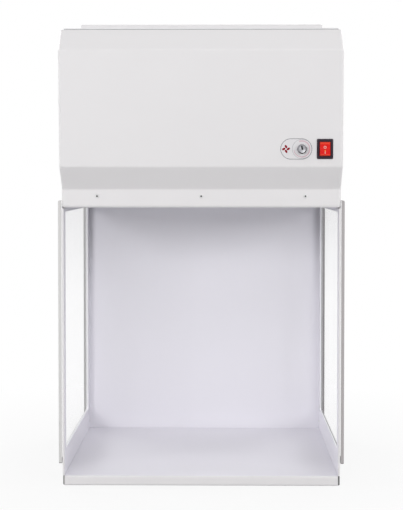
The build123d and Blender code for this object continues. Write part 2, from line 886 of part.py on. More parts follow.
# ------------------------------------------------------------------ fan wheel
shroud_rim = neck_top - wheel_neck - wheel_cone
with BuildPart() as wheel:
    with BuildSketch(Plane.XY.offset(wheel_bottom)):
        with PolarLocations(0, blade_count):
            with BuildLine(mode=Mode.PRIVATE) as camber:
                tip_angle = radians(-blade_sweep)
                root = (blade_inner, 0)
                tip = ((wheel_radius - seam) * cos(tip_angle), (wheel_radius - seam) * sin(tip_angle))
                SagittaArc(root, tip, blade_bow)
                offset(amount=blade_sheet, side=Side.LEFT)
            add(make_face(camber.edges(), mode=Mode.PRIVATE))
    extrude(amount=wheel_height)
    with BuildSketch(Plane.XZ):
        with BuildLine():
            Polyline(
                (0, neck_top + over_cut),
                (0, neck_top - wheel_neck + wheel_sheet / 2),
                (neck_radius, neck_top - wheel_neck + wheel_sheet / 2),
                (wheel_radius + over_cut, shroud_rim + wheel_sheet / 2),
                (wheel_radius + over_cut, neck_top + over_cut),
                close=True,
            )
        make_face()
    revolve(axis=Axis.Z, mode=Mode.SUBTRACT)
    with BuildSketch(Plane.XZ):
        with BuildLine():
            FilletPolyline(
                (neck_radius, neck_top),
                (neck_radius, neck_top - wheel_neck),
                (wheel_radius, shroud_rim),
                radius=wheel_neck / 2,
            )
            offset(amount=wheel_sheet, side=Side.LEFT)
        make_face()
    revolve(axis=Axis.Z)
    with BuildSketch(Plane.XY.offset(wheel_bottom)):
        Circle(wheel_radius)
        Circle(rotor_radius + 2 * running_fit, mode=Mode.SUBTRACT)
    extrude(amount=wheel_sheet)
keep(wheel, "fan_wheel")

# ------------------------------------------------------------------ fan motor
rotor_low = wheel_bottom + wheel_sheet
rotor_top = rotor_low + rotor_height
with BuildPart() as rotor:
    cylinder(rotor_radius, wheel_bottom - motor_gap / 2, rotor_top)
    fillet(rotor.edges().group_by(Axis.Z)[-1], rotor_crown)
    cylinder(rotor_radius + rotor_flange, rotor_low, rotor_low + rotor_sheet)
    cylinder(
        rotor_radius - rotor_sheet,
        wheel_bottom - motor_gap / 2 - over_cut,
        rotor_top - rotor_sheet,
        mode=Mode.SUBTRACT,
    )
    cylinder(shaft_radius, bracket_top + stator_base / 2, rotor_top - rotor_sheet)
keep(rotor, "motor_rotor")

with BuildPart() as stator:
    cylinder(stator_radius, motor_top, rotor_top - rotor_sheet - motor_gap)
    cylinder(rotor_radius + rotor_flange / 2, bracket_top, motor_top)
    cylinder(
        shaft_radius + running_fit,
        bracket_top + stator_base / 2,
        rotor_top,
        mode=Mode.SUBTRACT,
    )
keep(stator, "motor_stator")

bracket_low = bracket_top - bracket_sheet
with BuildPart() as bracket:
    arm_length = sqrt(2) * post_pitch + bracket_arm
    with BuildSketch(Plane.XY.offset(bracket_low)):
        Circle(bracket_hub)
        for turn in (45, 135):
            Rectangle(arm_length, bracket_arm, rotation=turn)
        with Locations(*post_points):
            Circle(screw_hole, mode=Mode.SUBTRACT)
    extrude(amount=bracket_sheet)
keep(bracket, "motor_bracket")

with BuildPart() as posts:
    with BuildSketch(Plane.XY.offset(bracket_top)):
        with Locations(*post_points):
            RegularPolygon(post_size / 2, 6, major_radius=False)
            Circle(screw_radius, mode=Mode.SUBTRACT)
    extrude(amount=z_lid - bracket_top)
keep(posts, "fan_posts")

with BuildPart() as post_screws:
    for x, y in post_points:
        with Locations((x, y, z_lid_top)):
            add(socket_screw(sheet + screw_bite * 2))
        with Locations(facing(x, y, bracket_low, (0, 0, -1), (1, 0, 0))):
            add(socket_screw(bracket_sheet + screw_bite * 2))
keep(post_screws, "fan_screws")

# ------------------------------------------------------------------ speed control
dial_spot = face.offset(0).location * Location((dial_x, control_height, 0))
dial_plane = Plane(dial_spot)
shaft_low = pot_play - sheet - pot_depth + pot_tab_sheet
with BuildPart() as dial_plate:
    with BuildSketch(dial_plane):
        with Locations((-dial_offset, 0)):
            SlotOverall(dial_length, dial_width)
        Circle(pot_bush_radius + slip, mode=Mode.SUBTRACT)
    extrude(amount=dial_thickness)
keep(dial_plate, "dial_plate")

with BuildPart() as pot:
    with BuildSketch(dial_plane.offset(-sheet)):
        Circle(pot_radius)
    extrude(amount=-pot_depth)
    with BuildSketch(dial_plane.offset(-sheet)):
        Circle(pot_bush_radius)
    extrude(amount=pot_bush_length)
    with BuildSketch(dial_plane.offset(-sheet - pot_depth / 2)):
        with Locations((0, -pot_radius - pot_tab_width)):
            with GridLocations(pot_tab_pitch, 0, 3, 1):
                Rectangle(pot_tab_width, pot_tab_length)
    extrude(amount=-pot_tab_sheet)
    with BuildSketch(dial_plane.offset(shaft_low - pot_play)):
        Circle(pot_shaft_radius + running_fit)
    extrude(amount=pot_depth + pot_bush_length + pot_play, mode=Mode.SUBTRACT)
keep(pot, "potentiometer")

with BuildPart() as pot_nut:
    with BuildSketch(dial_plane.offset(dial_thickness)):
        RegularPolygon(pot_nut_flats / 2, 6, major_radius=False)
        Circle(pot_bush_radius, mode=Mode.SUBTRACT)
    extrude(amount=pot_nut_height)
keep(pot_nut, "potentiometer_nut")

knob_low = dial_thickness + knob_lift
knob_high = knob_low + knob_height
knob_bore_high = max(pot_bush_length - sheet, dial_thickness + pot_nut_height) + knob_lift
shaft_high = knob_high - 3 * pointer_depth
with BuildPart() as pot_shaft:
    with BuildSketch(dial_plane.offset(shaft_low)):
        Circle(pot_shaft_radius)
    extrude(amount=shaft_high - shaft_low)
keep(pot_shaft, "potentiometer_shaft")

with BuildPart() as knob:
    with BuildSketch(dial_plane.offset(knob_low)):
        Circle(knob_diameter / 2)
    extrude(amount=knob_height)
    crown = knob.faces().sort_by_distance(dial_plane.offset(knob_high).origin)[0]
    chamfer(crown.edges(), knob_chamfer)
    with BuildSketch(dial_plane.offset(knob_low)):
        Circle(knob_skirt_bore / 2)
    extrude(amount=knob_bore_high - knob_low, mode=Mode.SUBTRACT)
    with BuildSketch(dial_plane.offset(knob_low)):
        Circle(pot_shaft_radius)
    extrude(amount=shaft_high - knob_low, mode=Mode.SUBTRACT)
    with BuildSketch(dial_plane.offset(knob_high)):
        with Locations((0, knob_diameter / 4)):
            Rectangle(pointer_width, knob_diameter / 2 - 2 * knob_chamfer)
    extrude(amount=-pointer_depth, mode=Mode.SUBTRACT)
keep(knob, "speed_knob")

with BuildPart() as pointer:
    with BuildSketch(dial_plane.offset(knob_high)):
        with Locations((0, knob_diameter / 4)):
            Rectangle(pointer_width, knob_diameter / 2 - 2 * knob_chamfer)
    extrude(amount=-pointer_depth)
keep(pointer, "knob_pointer")

# ------------------------------------------------------------------ rocker switch
switch_spot = face.offset(0).location * Location((rocker_x, control_height, 0))
switch_plane = Plane(switch_spot)
well_width = rocker_width + 2 * rocker_gap
well_height = 2 * rocker_radius + 2 * rocker_gap
with BuildPart() as switch_body:
    with BuildSketch(switch_plane):
        RectangleRounded(bezel_width, bezel_height, bezel_corner)
    extrude(amount=bezel_thickness)
    chamfer(
        switch_body.faces().sort_by_distance(switch_plane.offset(bezel_thickness).origin)[0].edges(),
        bezel_cut,
    )
    with BuildSketch(switch_plane):
        Rectangle(switch_width, switch_height)
    extrude(amount=-switch_depth)
    with BuildSketch(switch_plane.offset(bezel_thickness)):
        Rectangle(well_width, well_height)
    extrude(amount=-bezel_thickness - rocker_radius - rocker_gap, mode=Mode.SUBTRACT)
    with Locations(switch_spot):
        Cylinder(
            pivot_radius + running_fit,
            well_width + 2 * pivot_length,
            rotation=(0, 90, 0),
            mode=Mode.SUBTRACT,
        )
keep(switch_body, "rocker_switch_body")

rocker_reach = rocker_radius + over_cut
rocker_side = Plane(
    origin=switch_plane.origin,
    x_dir=switch_plane.y_dir.rotate(Axis((0, 0, 0), (1, 0, 0)), rocker_travel / 2 * -1),
    z_dir=(1, 0, 0),
)
with BuildPart() as rocker:
    with BuildSketch(rocker_side):
        Circle(rocker_radius)
        with BuildLine():
            Polyline(
                (-rocker_reach, rocker_end_rise),
                (0, rocker_mid_rise),
                (rocker_reach, rocker_end_rise),
                (rocker_reach, rocker_reach),
                (-rocker_reach, rocker_reach),
                close=True,
            )
        make_face(mode=Mode.SUBTRACT)
        with Locations((0, -rocker_drop - rocker_radius)):
            Rectangle(4 * rocker_radius, 2 * rocker_radius, mode=Mode.SUBTRACT)
    extrude(amount=rocker_width / 2, both=True)
    with BuildSketch(rocker_side):
        Circle(pivot_radius)
    extrude(amount=rocker_width / 2 + pivot_length, both=True)
keep(rocker, "rocker")

with BuildPart() as switch_tabs:
    with BuildSketch(switch_plane.offset(-switch_depth)):
        with GridLocations(tab_pitch_x, tab_pitch_y, 2, 2):
            Rectangle(tab_sheet, tab_width)
    extrude(amount=-tab_length)
keep(switch_tabs, "switch_terminals")

# ------------------------------------------------------------------ controller board
board_face = inner_half - board_standoff
part_face = board_face - board_thickness


def spans(size, spot):
    """Spans along Y and Z of a block on the board."""
    middle = (board_y + spot[0], board_z + spot[1])
    return [(centre - length / 2, centre + length / 2) for centre, length in zip(middle, size)]


with BuildPart() as board:
    box(
        (board_face - board_thickness, board_face),
        (board_y - board_length / 2, board_y + board_length / 2),
        (board_z - board_height / 2, board_z + board_height / 2),
    )
    for y, z in board_holes:
        with Locations(facing(board_face, y, z, (1, 0, 0))):
            Cylinder(screw_hole, 4 * board_thickness, mode=Mode.SUBTRACT)
    for size, spot in ((relay, relay_spot), (choke, choke_spot)):
        box((part_face - size[2], part_face), *spans(size, spot))
    seat = facing(part_face, board_y + capacitor_spot[0], board_z + capacitor_spot[1], (-1, 0, 0))
    with Locations(seat):
        Cylinder(capacitor_radius, capacitor_height, align=(Align.CENTER, Align.CENTER, Align.MIN))
keep(board, "controller_board")

with BuildPart() as heat_sink:
    sink_y, sink_z = spans(sink, sink_spot)
    fin_pitch = (sink[0] - sink_fin) / (sink_fin_count - 1)
    box((part_face - sink_base, part_face), sink_y, sink_z)
    for step in range(sink_fin_count):
        fin = sink_y[0] + step * fin_pitch
        box((part_face - sink[2], part_face - sink_base), (fin, fin + sink_fin), sink_z)
keep(heat_sink, "controller_heat_sink")

with BuildPart() as standoffs:
    for y, z in board_holes:
        with BuildSketch(Plane(facing(inner_half, y, z, (-1, 0, 0)))):
            RegularPolygon(standoff_flats / 2, 6, major_radius=False)
            Circle(screw_radius, mode=Mode.SUBTRACT)
        extrude(amount=board_standoff)
keep(standoffs, "board_standoffs")

with BuildPart() as board_screws:
    for y, z in board_holes:
        with Locations(facing(part_face, y, z, (-1, 0, 0))):
            add(socket_screw(board_thickness + screw_bite))
keep(board_screws, "board_screws")

# ------------------------------------------------------------------ mains inlet
inlet_plane = Plane(origin=(inlet_x, back, inlet_z), x_dir=(-1, 0, 0), z_dir=(0, 1, 0))
inlet_screw_x = [side * inlet_screw_pitch / 2 for side in (-1, 1)]
with BuildPart() as inlet:
    with BuildSketch(inlet_plane):
        RectangleRounded(inlet_flange_width, inlet_flange_height, inlet_corner)
        with Locations(*[(x, 0) for x in inlet_screw_x]):
            Circle(screw_hole, mode=Mode.SUBTRACT)
    extrude(amount=inlet_flange)
    with BuildSketch(inlet_plane):
        Rectangle(inlet_body_width, inlet_body_height)
    extrude(amount=-inlet_body_depth)
    with BuildSketch(inlet_plane.offset(inlet_flange)) as socket_shape:
        Rectangle(inlet_socket_width, inlet_socket_height)
        chamfer(socket_shape.vertices().group_by(Axis.Z)[-1], inlet_socket_corner)
    extrude(amount=-inlet_socket_depth, mode=Mode.SUBTRACT)
keep(inlet, "mains_inlet")

pin_points = [(-pin_pitch, -pin_stagger), (0, pin_stagger), (pin_pitch, -pin_stagger)]
with BuildPart() as pins:
    with BuildSketch(inlet_plane.offset(inlet_flange - inlet_socket_depth)):
        with Locations(*pin_points):
            Rectangle(pin_width, pin_height)
    extrude(amount=pin_length)
    with BuildSketch(inlet_plane.offset(-inlet_body_depth)):
        with Locations(*pin_points):
            Rectangle(tab_sheet, tab_width)
    extrude(amount=-tab_length)
keep(pins, "mains_inlet_pins")

with BuildPart() as inlet_screws:
    for x in inlet_screw_x:
        with Locations(facing(inlet_x + x, back + inlet_flange, inlet_z, (0, 1, 0), (1, 0, 0))):
            add(socket_screw(inlet_flange + sheet + screw_bite))
keep(inlet_screws, "mains_inlet_screws")
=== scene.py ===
import json
import math

import bmesh
import bpy
from mathutils import Matrix, Vector


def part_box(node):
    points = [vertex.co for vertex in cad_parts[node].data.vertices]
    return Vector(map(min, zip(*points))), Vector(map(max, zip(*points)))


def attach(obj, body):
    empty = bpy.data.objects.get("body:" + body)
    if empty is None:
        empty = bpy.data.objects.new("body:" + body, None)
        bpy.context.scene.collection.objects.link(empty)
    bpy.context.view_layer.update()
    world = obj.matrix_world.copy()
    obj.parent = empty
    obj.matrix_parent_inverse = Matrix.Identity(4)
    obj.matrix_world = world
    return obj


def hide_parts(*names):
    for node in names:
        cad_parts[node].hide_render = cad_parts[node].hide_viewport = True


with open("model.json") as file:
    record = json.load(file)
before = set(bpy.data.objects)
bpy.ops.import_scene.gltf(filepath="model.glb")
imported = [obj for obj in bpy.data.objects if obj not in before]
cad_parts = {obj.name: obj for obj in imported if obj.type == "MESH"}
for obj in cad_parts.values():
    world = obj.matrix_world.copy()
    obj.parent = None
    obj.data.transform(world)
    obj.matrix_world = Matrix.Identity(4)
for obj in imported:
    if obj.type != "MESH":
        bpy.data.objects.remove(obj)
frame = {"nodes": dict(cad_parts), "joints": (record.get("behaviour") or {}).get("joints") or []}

bl_info = {
    "name": "Laminar Flow Hood",
    "version": (1, 0, 0),
    "blender": (4, 5, 0),
    "location": "View3D > Sidebar > Flow Hood",
    "description": "Finishes and detailed pieces of a bench-top laminar flow hood",
    "category": "Object",
}

MM = 0.001
NODES = frame["nodes"]
CABINET = "cabinet"
# The control face leans back by 12 mm over its rise of 180 mm.
LEAN = math.atan2(12.0, 180.0)
FACE_TURN = (math.pi / 2 + LEAN, 0.0, 0.0)
FACE_NORMAL = Vector((0.0, -math.cos(LEAN), -math.sin(LEAN)))
PANEL = 3.0 * MM  # thickness of the side panels


def middle(node):
    """Middle of a node's box."""
    low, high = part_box(node)
    return (low + high) / 2


def toned(colour, gain, lift=0.0):
    """A colour made lighter or darker."""
    return tuple(min(1.0, gain * part + lift) for part in colour)


def grey(tone):
    return (tone, tone, tone)


# ---------------------------------------------------------------- node wiring


class Signal:
    """A node's socket that arithmetic can be written on."""

    def __init__(self, board, socket):
        self.board = board
        self.socket = socket

    def maths(self, operation, *values):
        return self.board.node("ShaderNodeMath", {"operation": operation}, dict(enumerate(values)))[0]

    def of(self, function):
        return self.maths(function, self)

    def __add__(self, other):
        return self.maths("ADD", self, other)

    def __sub__(self, other):
        return self.maths("SUBTRACT", self, other)

    def __mul__(self, other):
        return self.maths("MULTIPLY", self, other)

    def __truediv__(self, other):
        return self.maths("DIVIDE", self, other)

    def __rsub__(self, other):
        return self.maths("SUBTRACT", other, self)

    def __rtruediv__(self, other):
        return self.maths("DIVIDE", other, self)

    __radd__ = __add__
    __rmul__ = __mul__

    def __abs__(self):
        return self.of("ABSOLUTE")

    def __mod__(self, other):
        return self.maths("FLOORED_MODULO", self, other)

    def above(self, limit):
        return self.maths("GREATER_THAN", self, limit)

    def below(self, limit):
        return self.maths("LESS_THAN", self, limit)

    def most(self, other):
        return self.maths("MAXIMUM", self, other)

    def least(self, other):
        return self.maths("MINIMUM", self, other)

    def near(self, place, reach):
        """Mask of what lies within a reach of a place."""
        return abs(self - place).below(reach)

    def rise(self, start, length):
        """Rise from 0 to 1 over a length."""
        return ((self - start) / length).most(0.0).least(1.0)

    def level(self, low, high):
        """Number that runs from low to high with a mask."""
        return self * (high - low) + low


class Outputs:
    """The outputs of a new node, by name or number."""

    def __init__(self, board, node):
        self.board = board
        self.node = node

    def __getitem__(self, key):
        return Signal(self.board, self.node.outputs[key])


class Board:
    """A node tree, shader or geometry, that nodes are added to by one method."""

    def __init__(self, tree):
        self.tree = tree

    def feed(self, node, inputs):
        for key, value in inputs.items():
            for item in value if isinstance(value, list) else [value]:
                if isinstance(item, Signal):
                    self.tree.links.new(item.socket, node.inputs[key])
                else:
                    node.inputs[key].default_value = item

    def node(self, kind, settings=None, inputs=None):
        node = self.tree.nodes.new(kind)
        for key, value in (settings or {}).items():
            if key == "stops":
                ramp = node.color_ramp.elements
                while len(ramp) < len(value):
                    ramp.new(0.5)
                for stop, (place, colour) in zip(ramp, value):
                    stop.position = place
                    stop.color = (*colour, 1.0)
            elif key == "curve":
                points = node.mapping.curves[0].points
                while len(points) < len(value):
                    points.new(0.5, 0.5)
                for point, place in zip(points, value):
                    point.location = place
                    point.handle_type = "VECTOR"
                node.mapping.update()
            else:
                setattr(node, key, value)
        self.feed(node, inputs or {})
        return Outputs(self, node)

    def split(self, vector):
        parts = self.node("ShaderNodeSeparateXYZ", None, {0: vector})
        return parts[0], parts[1], parts[2]

    def join(self, x, y, z):
        return self.node("ShaderNodeCombineXYZ", None, {0: x, 1: y, 2: z})[0]

    def vector(self, operation, *values):
        result = self.node("ShaderNodeVectorMath", {"operation": operation}, dict(enumerate(values)))
        return result["Value" if operation == "LENGTH" else "Vector"]

    def length(self, x, y):
        return self.vector("LENGTH", self.join(x, y, 0.0))

    def bearing(self, x, y):
        """Angle around the origin, from the x axis."""
        return y.maths("ARCTAN2", y, x)

    def behind(self):
        """1 for rays that see what stands behind: from the camera, or by way of gloss or a clear pane."""
        path = self.node("ShaderNodeLightPath")
        return path["Is Camera Ray"].most(path["Is Glossy Ray"]).most(path["Is Transmission Ray"])


class Finish(Board):
    """A surface finish: a material whose colour, gloss and grain come from nodes."""

    def __init__(self, name, colour, roughness, **constants):
        self.material = bpy.data.materials.new(name)
        self.material.use_nodes = True
        super().__init__(self.material.node_tree)
        self.shader = self.tree.nodes["Principled BSDF"]
        self.feed(self.shader, {"Base Color": (*colour, 1.0), "Roughness": roughness})
        self.feed(self.shader, {key.replace("_", " "): value for key, value in constants.items()})

    def place(self, origin=(0, 0, 0), turn=(0, 0, 0), scale=(1, 1, 1)):
        """Object coordinates seen from an origin, turned and scaled."""
        spot = self.node("ShaderNodeTexCoord")["Object"]
        inputs = {"Vector": spot, "Location": origin, "Rotation": turn, "Scale": scale}
        return self.node("ShaderNodeMapping", {"vector_type": "TEXTURE"}, inputs)["Vector"]

    def on_face(self, centre):
        """Millimetres across, up and out from a point on the control face."""
        return self.split(self.place(tuple(centre), FACE_TURN, (MM, MM, MM)))

    def noise(self, vector, scale, detail=2.0, roughness=0.5):
        inputs = {"Vector": vector, "Scale": scale, "Detail": detail, "Roughness": roughness}
        return self.node("ShaderNodeTexNoise", None, inputs)["Fac"]

    def tint(self, factor, first, second):
        """Colour between two, each a triple or a link."""
        mix = self.tree.nodes.new("ShaderNodeMix")
        mix.data_type = "RGBA"
        ends = [end if isinstance(end, Signal) else (*end, 1.0) for end in (first, second)]
        self.feed(mix, {0: factor, 6: ends[0], 7: ends[1]})
        return Signal(self, mix.outputs[2])

    def ramp(self, factor, *stops):
        return self.node("ShaderNodeValToRGB", {"stops": stops}, {"Fac": factor})["Color"]

    def wear(self, **inputs):
        """What changes over the surface."""
        self.feed(self.shader, {key.replace("_", " "): value for key, value in inputs.items()})

    def worn(self, colour, roughness, height=None, depth=0.0):
        """The material, with the colour, roughness and fine relief that change over the surface."""
        self.wear(Base_Color=colour, Roughness=roughness)
        if height is not None:
            bump = self.node("ShaderNodeBump", None, {"Height": height, "Distance": depth, "Strength": 1.0})
            self.wear(Normal=bump["Normal"])
        return self.material


# ---------------------------------------------------------------- finishes


def powder_coat(name, colour, peel, gloss=0.42, regions=None):
    """Satin powder coat with orange peel and a faint cloudiness, in other tones on some regions."""
    coat = Finish(name, colour, gloss, Specular_IOR_Level=0.4)
    spot = coat.place()
    cloud = coat.noise(spot, 9.0, 3.0)
    skin = coat.noise(spot, 620.0, 3.0, 0.55)
    tone = coat.tint(cloud, toned(colour, 0.975), colour)
    for mask, shade in regions(*coat.split(spot)) if regions else ():
        tone = coat.tint(mask, tone, shade)
    return coat.worn(tone, (cloud + skin).level(gloss - 0.06, gloss + 0.02), skin, peel)


def plated_steel(name, colour, roughness):
    """Zinc-plated or bright steel with faint machining lines."""
    plate = Finish(name, colour, roughness, Metallic=1.0)
    spot = plate.place()
    streaks = plate.noise(plate.vector("MULTIPLY", spot, (1.0, 1.0, 9.0)), 900.0, 2.0)
    cloud = plate.noise(spot, 160.0, 2.0)
    tone = plate.tint(cloud, toned(colour, 0.86), colour)
    return plate.worn(tone, streaks.level(roughness - 0.06, roughness + 0.10), streaks, 0.01 * MM)


def galvanised(name):
    """Hot-dip galvanised sheet with its spangle."""
    sheet = Finish(name, (0.60, 0.62, 0.64), 0.36, Metallic=1.0)
    spot = sheet.place()
    spangle = sheet.node("ShaderNodeTexVoronoi", None, {"Vector": spot, "Scale": 110.0})["Color"]
    shade = sheet.split(spangle)[0]
    tone = sheet.ramp(shade, (0.0, (0.50, 0.52, 0.55)), (1.0, (0.70, 0.72, 0.73)))
    return sheet.worn(tone, shade.level(0.28, 0.48), sheet.noise(spot, 300.0), 0.02 * MM)


def brushed_aluminium(name):
    """Mill-finish aluminium with rolling lines."""
    metal = Finish(name, (0.75, 0.76, 0.78), 0.32, Metallic=1.0)
    spot = metal.place()
    lines = metal.noise(metal.vector("MULTIPLY", spot, (0.04, 1.0, 1.0)), 1400.0, 2.0)
    tone = metal.ramp(lines, (0.25, (0.68, 0.69, 0.71)), (0.75, (0.80, 0.81, 0.82)))
    return metal.worn(tone, lines.level(0.24, 0.42), lines, 0.012 * MM)


def foam(name, colour):
    """Closed-cell foam or sponge rubber with small pores."""
    sponge = Finish(name, colour, 0.85, Specular_IOR_Level=0.25)
    spot = sponge.place()
    pores = sponge.node("ShaderNodeTexVoronoi", None, {"Vector": spot, "Scale": 1500.0})["Distance"]
    tone = sponge.tint(pores, toned(colour, 1.35, 0.01), colour)
    return sponge.worn(tone, pores.level(0.75, 0.95), pores, 0.12 * MM)


def fleece(name):
    """Coarse non-woven fleece of crossing fibres."""
    wool = Finish(name, (0.84, 0.84, 0.81), 0.95, Specular_IOR_Level=0.15, Sheen_Weight=0.3)
    spot = wool.place()
    along = wool.noise(wool.vector("MULTIPLY", spot, (1.0, 7.0, 3.0)), 420.0, 4.0, 0.7)
    across = wool.noise(wool.vector("MULTIPLY", spot, (7.0, 1.0, 3.0)), 420.0, 4.0, 0.7)
    fibres = along.most(across)
    tone = wool.ramp(fibres, (0.42, (0.60, 0.60, 0.57)), (0.68, (0.90, 0.90, 0.87)))
    return wool.worn(tone, fibres.level(0.98, 0.86), fibres, 0.9 * MM)


def filter_paper(name):
    """Glass-fibre filter paper with beads of glue across the pleats."""
    paper = Finish(name, (0.91, 0.91, 0.88), 0.9, Specular_IOR_Level=0.2)
    spot = paper.place()
    fibre = paper.noise(spot, 900.0, 4.0, 0.65)
    bead_pitch, bead_width = 25.0 * MM, 2.2 * MM
    bead = (paper.split(spot)[1] % bead_pitch).near(bead_pitch / 2, bead_width / 2)
    plain = paper.ramp(fibre, (0.3, (0.84, 0.84, 0.80)), (0.7, (0.93, 0.93, 0.90)))
    tone = paper.tint(bead, plain, (0.70, 0.66, 0.52))
    return paper.worn(tone, bead.level(0.92, 0.45), fibre + bead * 3.0, 0.12 * MM)


def moulded_plastic(name, colour, gloss, shine=0.5):
    """Moulded plastic with spark-eroded grain."""
    plastic = Finish(name, colour, gloss, Specular_IOR_Level=shine)
    spot = plastic.place()
    grain = plastic.noise(spot, 900.0, 3.0, 0.6)
    cloud = plastic.noise(spot, 60.0)
    tone = plastic.tint(cloud, colour, toned(colour, 1.25, 0.004))
    return plastic.worn(tone, grain.level(gloss - 0.08, gloss + 0.12), grain, 0.03 * MM)


def enamel(name, colour):
    """Baked enamel on a turned motor shell."""
    shell = Finish(name, colour, 0.38, Coat_Weight=0.3)
    spot = shell.place()
    runs = shell.noise(spot, 240.0, 2.0)
    tone = shell.tint(runs, colour, toned(colour, 1.5, 0.01))
    return shell.worn(tone, runs.level(0.28, 0.46), runs, 0.04 * MM)


def tinned_brass(name):
    """Punched brass tabs with tarnish."""
    brass = Finish(name, (0.78, 0.64, 0.34), 0.30, Metallic=1.0)
    tarnish = brass.noise(brass.place(), 380.0, 3.0)
    tone = brass.ramp(tarnish, (0.3, (0.62, 0.48, 0.24)), (0.7, (0.86, 0.73, 0.42)))
    return brass.worn(tone, tarnish.level(0.22, 0.42))


def circuit_board(name):
    """Green solder mask with tracks, and dark housings where parts stand on it."""
    low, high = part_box("controller_board")
    board = Finish(name, (0.03, 0.22, 0.09), 0.35, Coat_Weight=0.2)
    spot = board.place()
    x, y, z = board.split(spot)
    track_pitch, track_width = 4.2 * MM, 1.0 * MM
    track = (y % track_pitch).near(track_pitch / 2, track_width / 2) * board.noise(spot, 90.0).above(0.46)
    copper = board.tint(track, (0.02, 0.20, 0.08), (0.06, 0.36, 0.15))
    board_thickness, capacitor_place = 1.8 * MM, 52.0 * MM
    part = x.below(high.x - board_thickness)
    capacitor = y.above(low.y + capacitor_place)
    housing = board.tint(capacitor, (0.035, 0.036, 0.04), (0.05, 0.09, 0.22))
    return board.worn(board.tint(part, copper, housing), part.level(0.32, 0.5), track, 0.04 * MM)


def assign(finish, *names):
    """Give a finish to CAD nodes."""
    for name in names:
        slots = NODES[name].data.materials
        slots.clear()
        slots.append(finish)


# ---------------------------------------------------------------- mesh helpers


def put(name, data):
    """A new object in the scene."""
    made = bpy.data.objects.new(name, data)
    bpy.context.scene.collection.objects.link(made)
    return made


def piece(name, mesh_data, finishes, body, replaced):
    """A finished object at the origin that rides on a body."""
    mesh_data.name = name
    made = put(name, mesh_data)
    for finish in finishes:
        mesh_data.materials.append(finish)
    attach(made, body)
    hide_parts(*replaced)


def to_mesh(form, outward=True):
    """Plain mesh from a bmesh, as a rule with its normals outward."""
    if outward:
        bmesh.ops.recalc_face_normals(form, faces=form.faces)
    data = bpy.data.meshes.new("shape")
    form.to_mesh(data)
    form.free()
    return data


def smooth(data, degrees=35.0):
    """Shade a mesh smooth up to an angle between its faces."""
    form = bmesh.new()
    form.from_mesh(data)
    for face in form.faces:
        face.smooth = True
    for edge in form.edges:
        if len(edge.link_faces) == 2:
            edge.smooth = edge.calc_face_angle() < math.radians(degrees)
    form.to_mesh(data)
    form.free()


def solids_of(node):
    """Boxes of the separate solids in a CAD node, as (lowest, highest) corners."""
    form = bmesh.new()
    form.from_mesh(NODES[node].data)
    bmesh.ops.remove_doubles(form, verts=form.verts, dist=0.002 * MM)
    boxes = []
    waiting = set(form.verts)
    while waiting:
        group = [waiting.pop()]
        for vert in group:
            for edge in vert.link_edges:
                other = edge.other_vert(vert)
                if other in waiting:
                    waiting.remove(other)
                    group.append(other)
        low, high = (Vector([end(vert.co[axis] for vert in group) for axis in range(3)]) for end in (min, max))
        boxes.append((low, high))
    form.free()
    return boxes


def on_face(centre):
    """Matrix from millimetres across, up and out of the control face to the cabinet."""
    return Matrix.Translation(centre) @ Matrix.Rotation(FACE_TURN[0], 4, "X") @ Matrix.Scale(MM, 4)


def wrap_rings(rings):
    """Closed skin over rings of points, and the faces of each wall between two rings."""
    form = bmesh.new()
    rows = [[form.verts.new(point) for point in ring] for ring in rings]
    walls = []
    for low, high in zip(rows, rows[1:]):
        turns = [(step, (step + 1) % len(low)) for step in range(len(low))]
        walls.append([form.faces.new((low[step], low[after], high[after], high[step])) for step, after in turns])
    form.faces.new(rows[0])
    form.faces.new(rows[-1])
    return form, walls


def lathe(profile, segments, matrix, flutes, flute_depth, fluted_rows):
    """Turned shape from (radius, height) pairs, with flutes on some rows."""
    rings = []
    for number, (radius, height) in enumerate(profile):
        ring = []
        for step in range(segments):
            angle = 2 * math.pi * step / segments
            cut = flute_depth * (0.5 - 0.5 * math.cos(angle * flutes)) if number in fluted_rows else 0.0
            reach = radius - cut
            ring.append(matrix @ Vector((reach * math.cos(angle), reach * math.sin(angle), height)))
        rings.append(ring)
    return wrap_rings(rings)[0]


# ---------------------------------------------------------------- geometry node trees


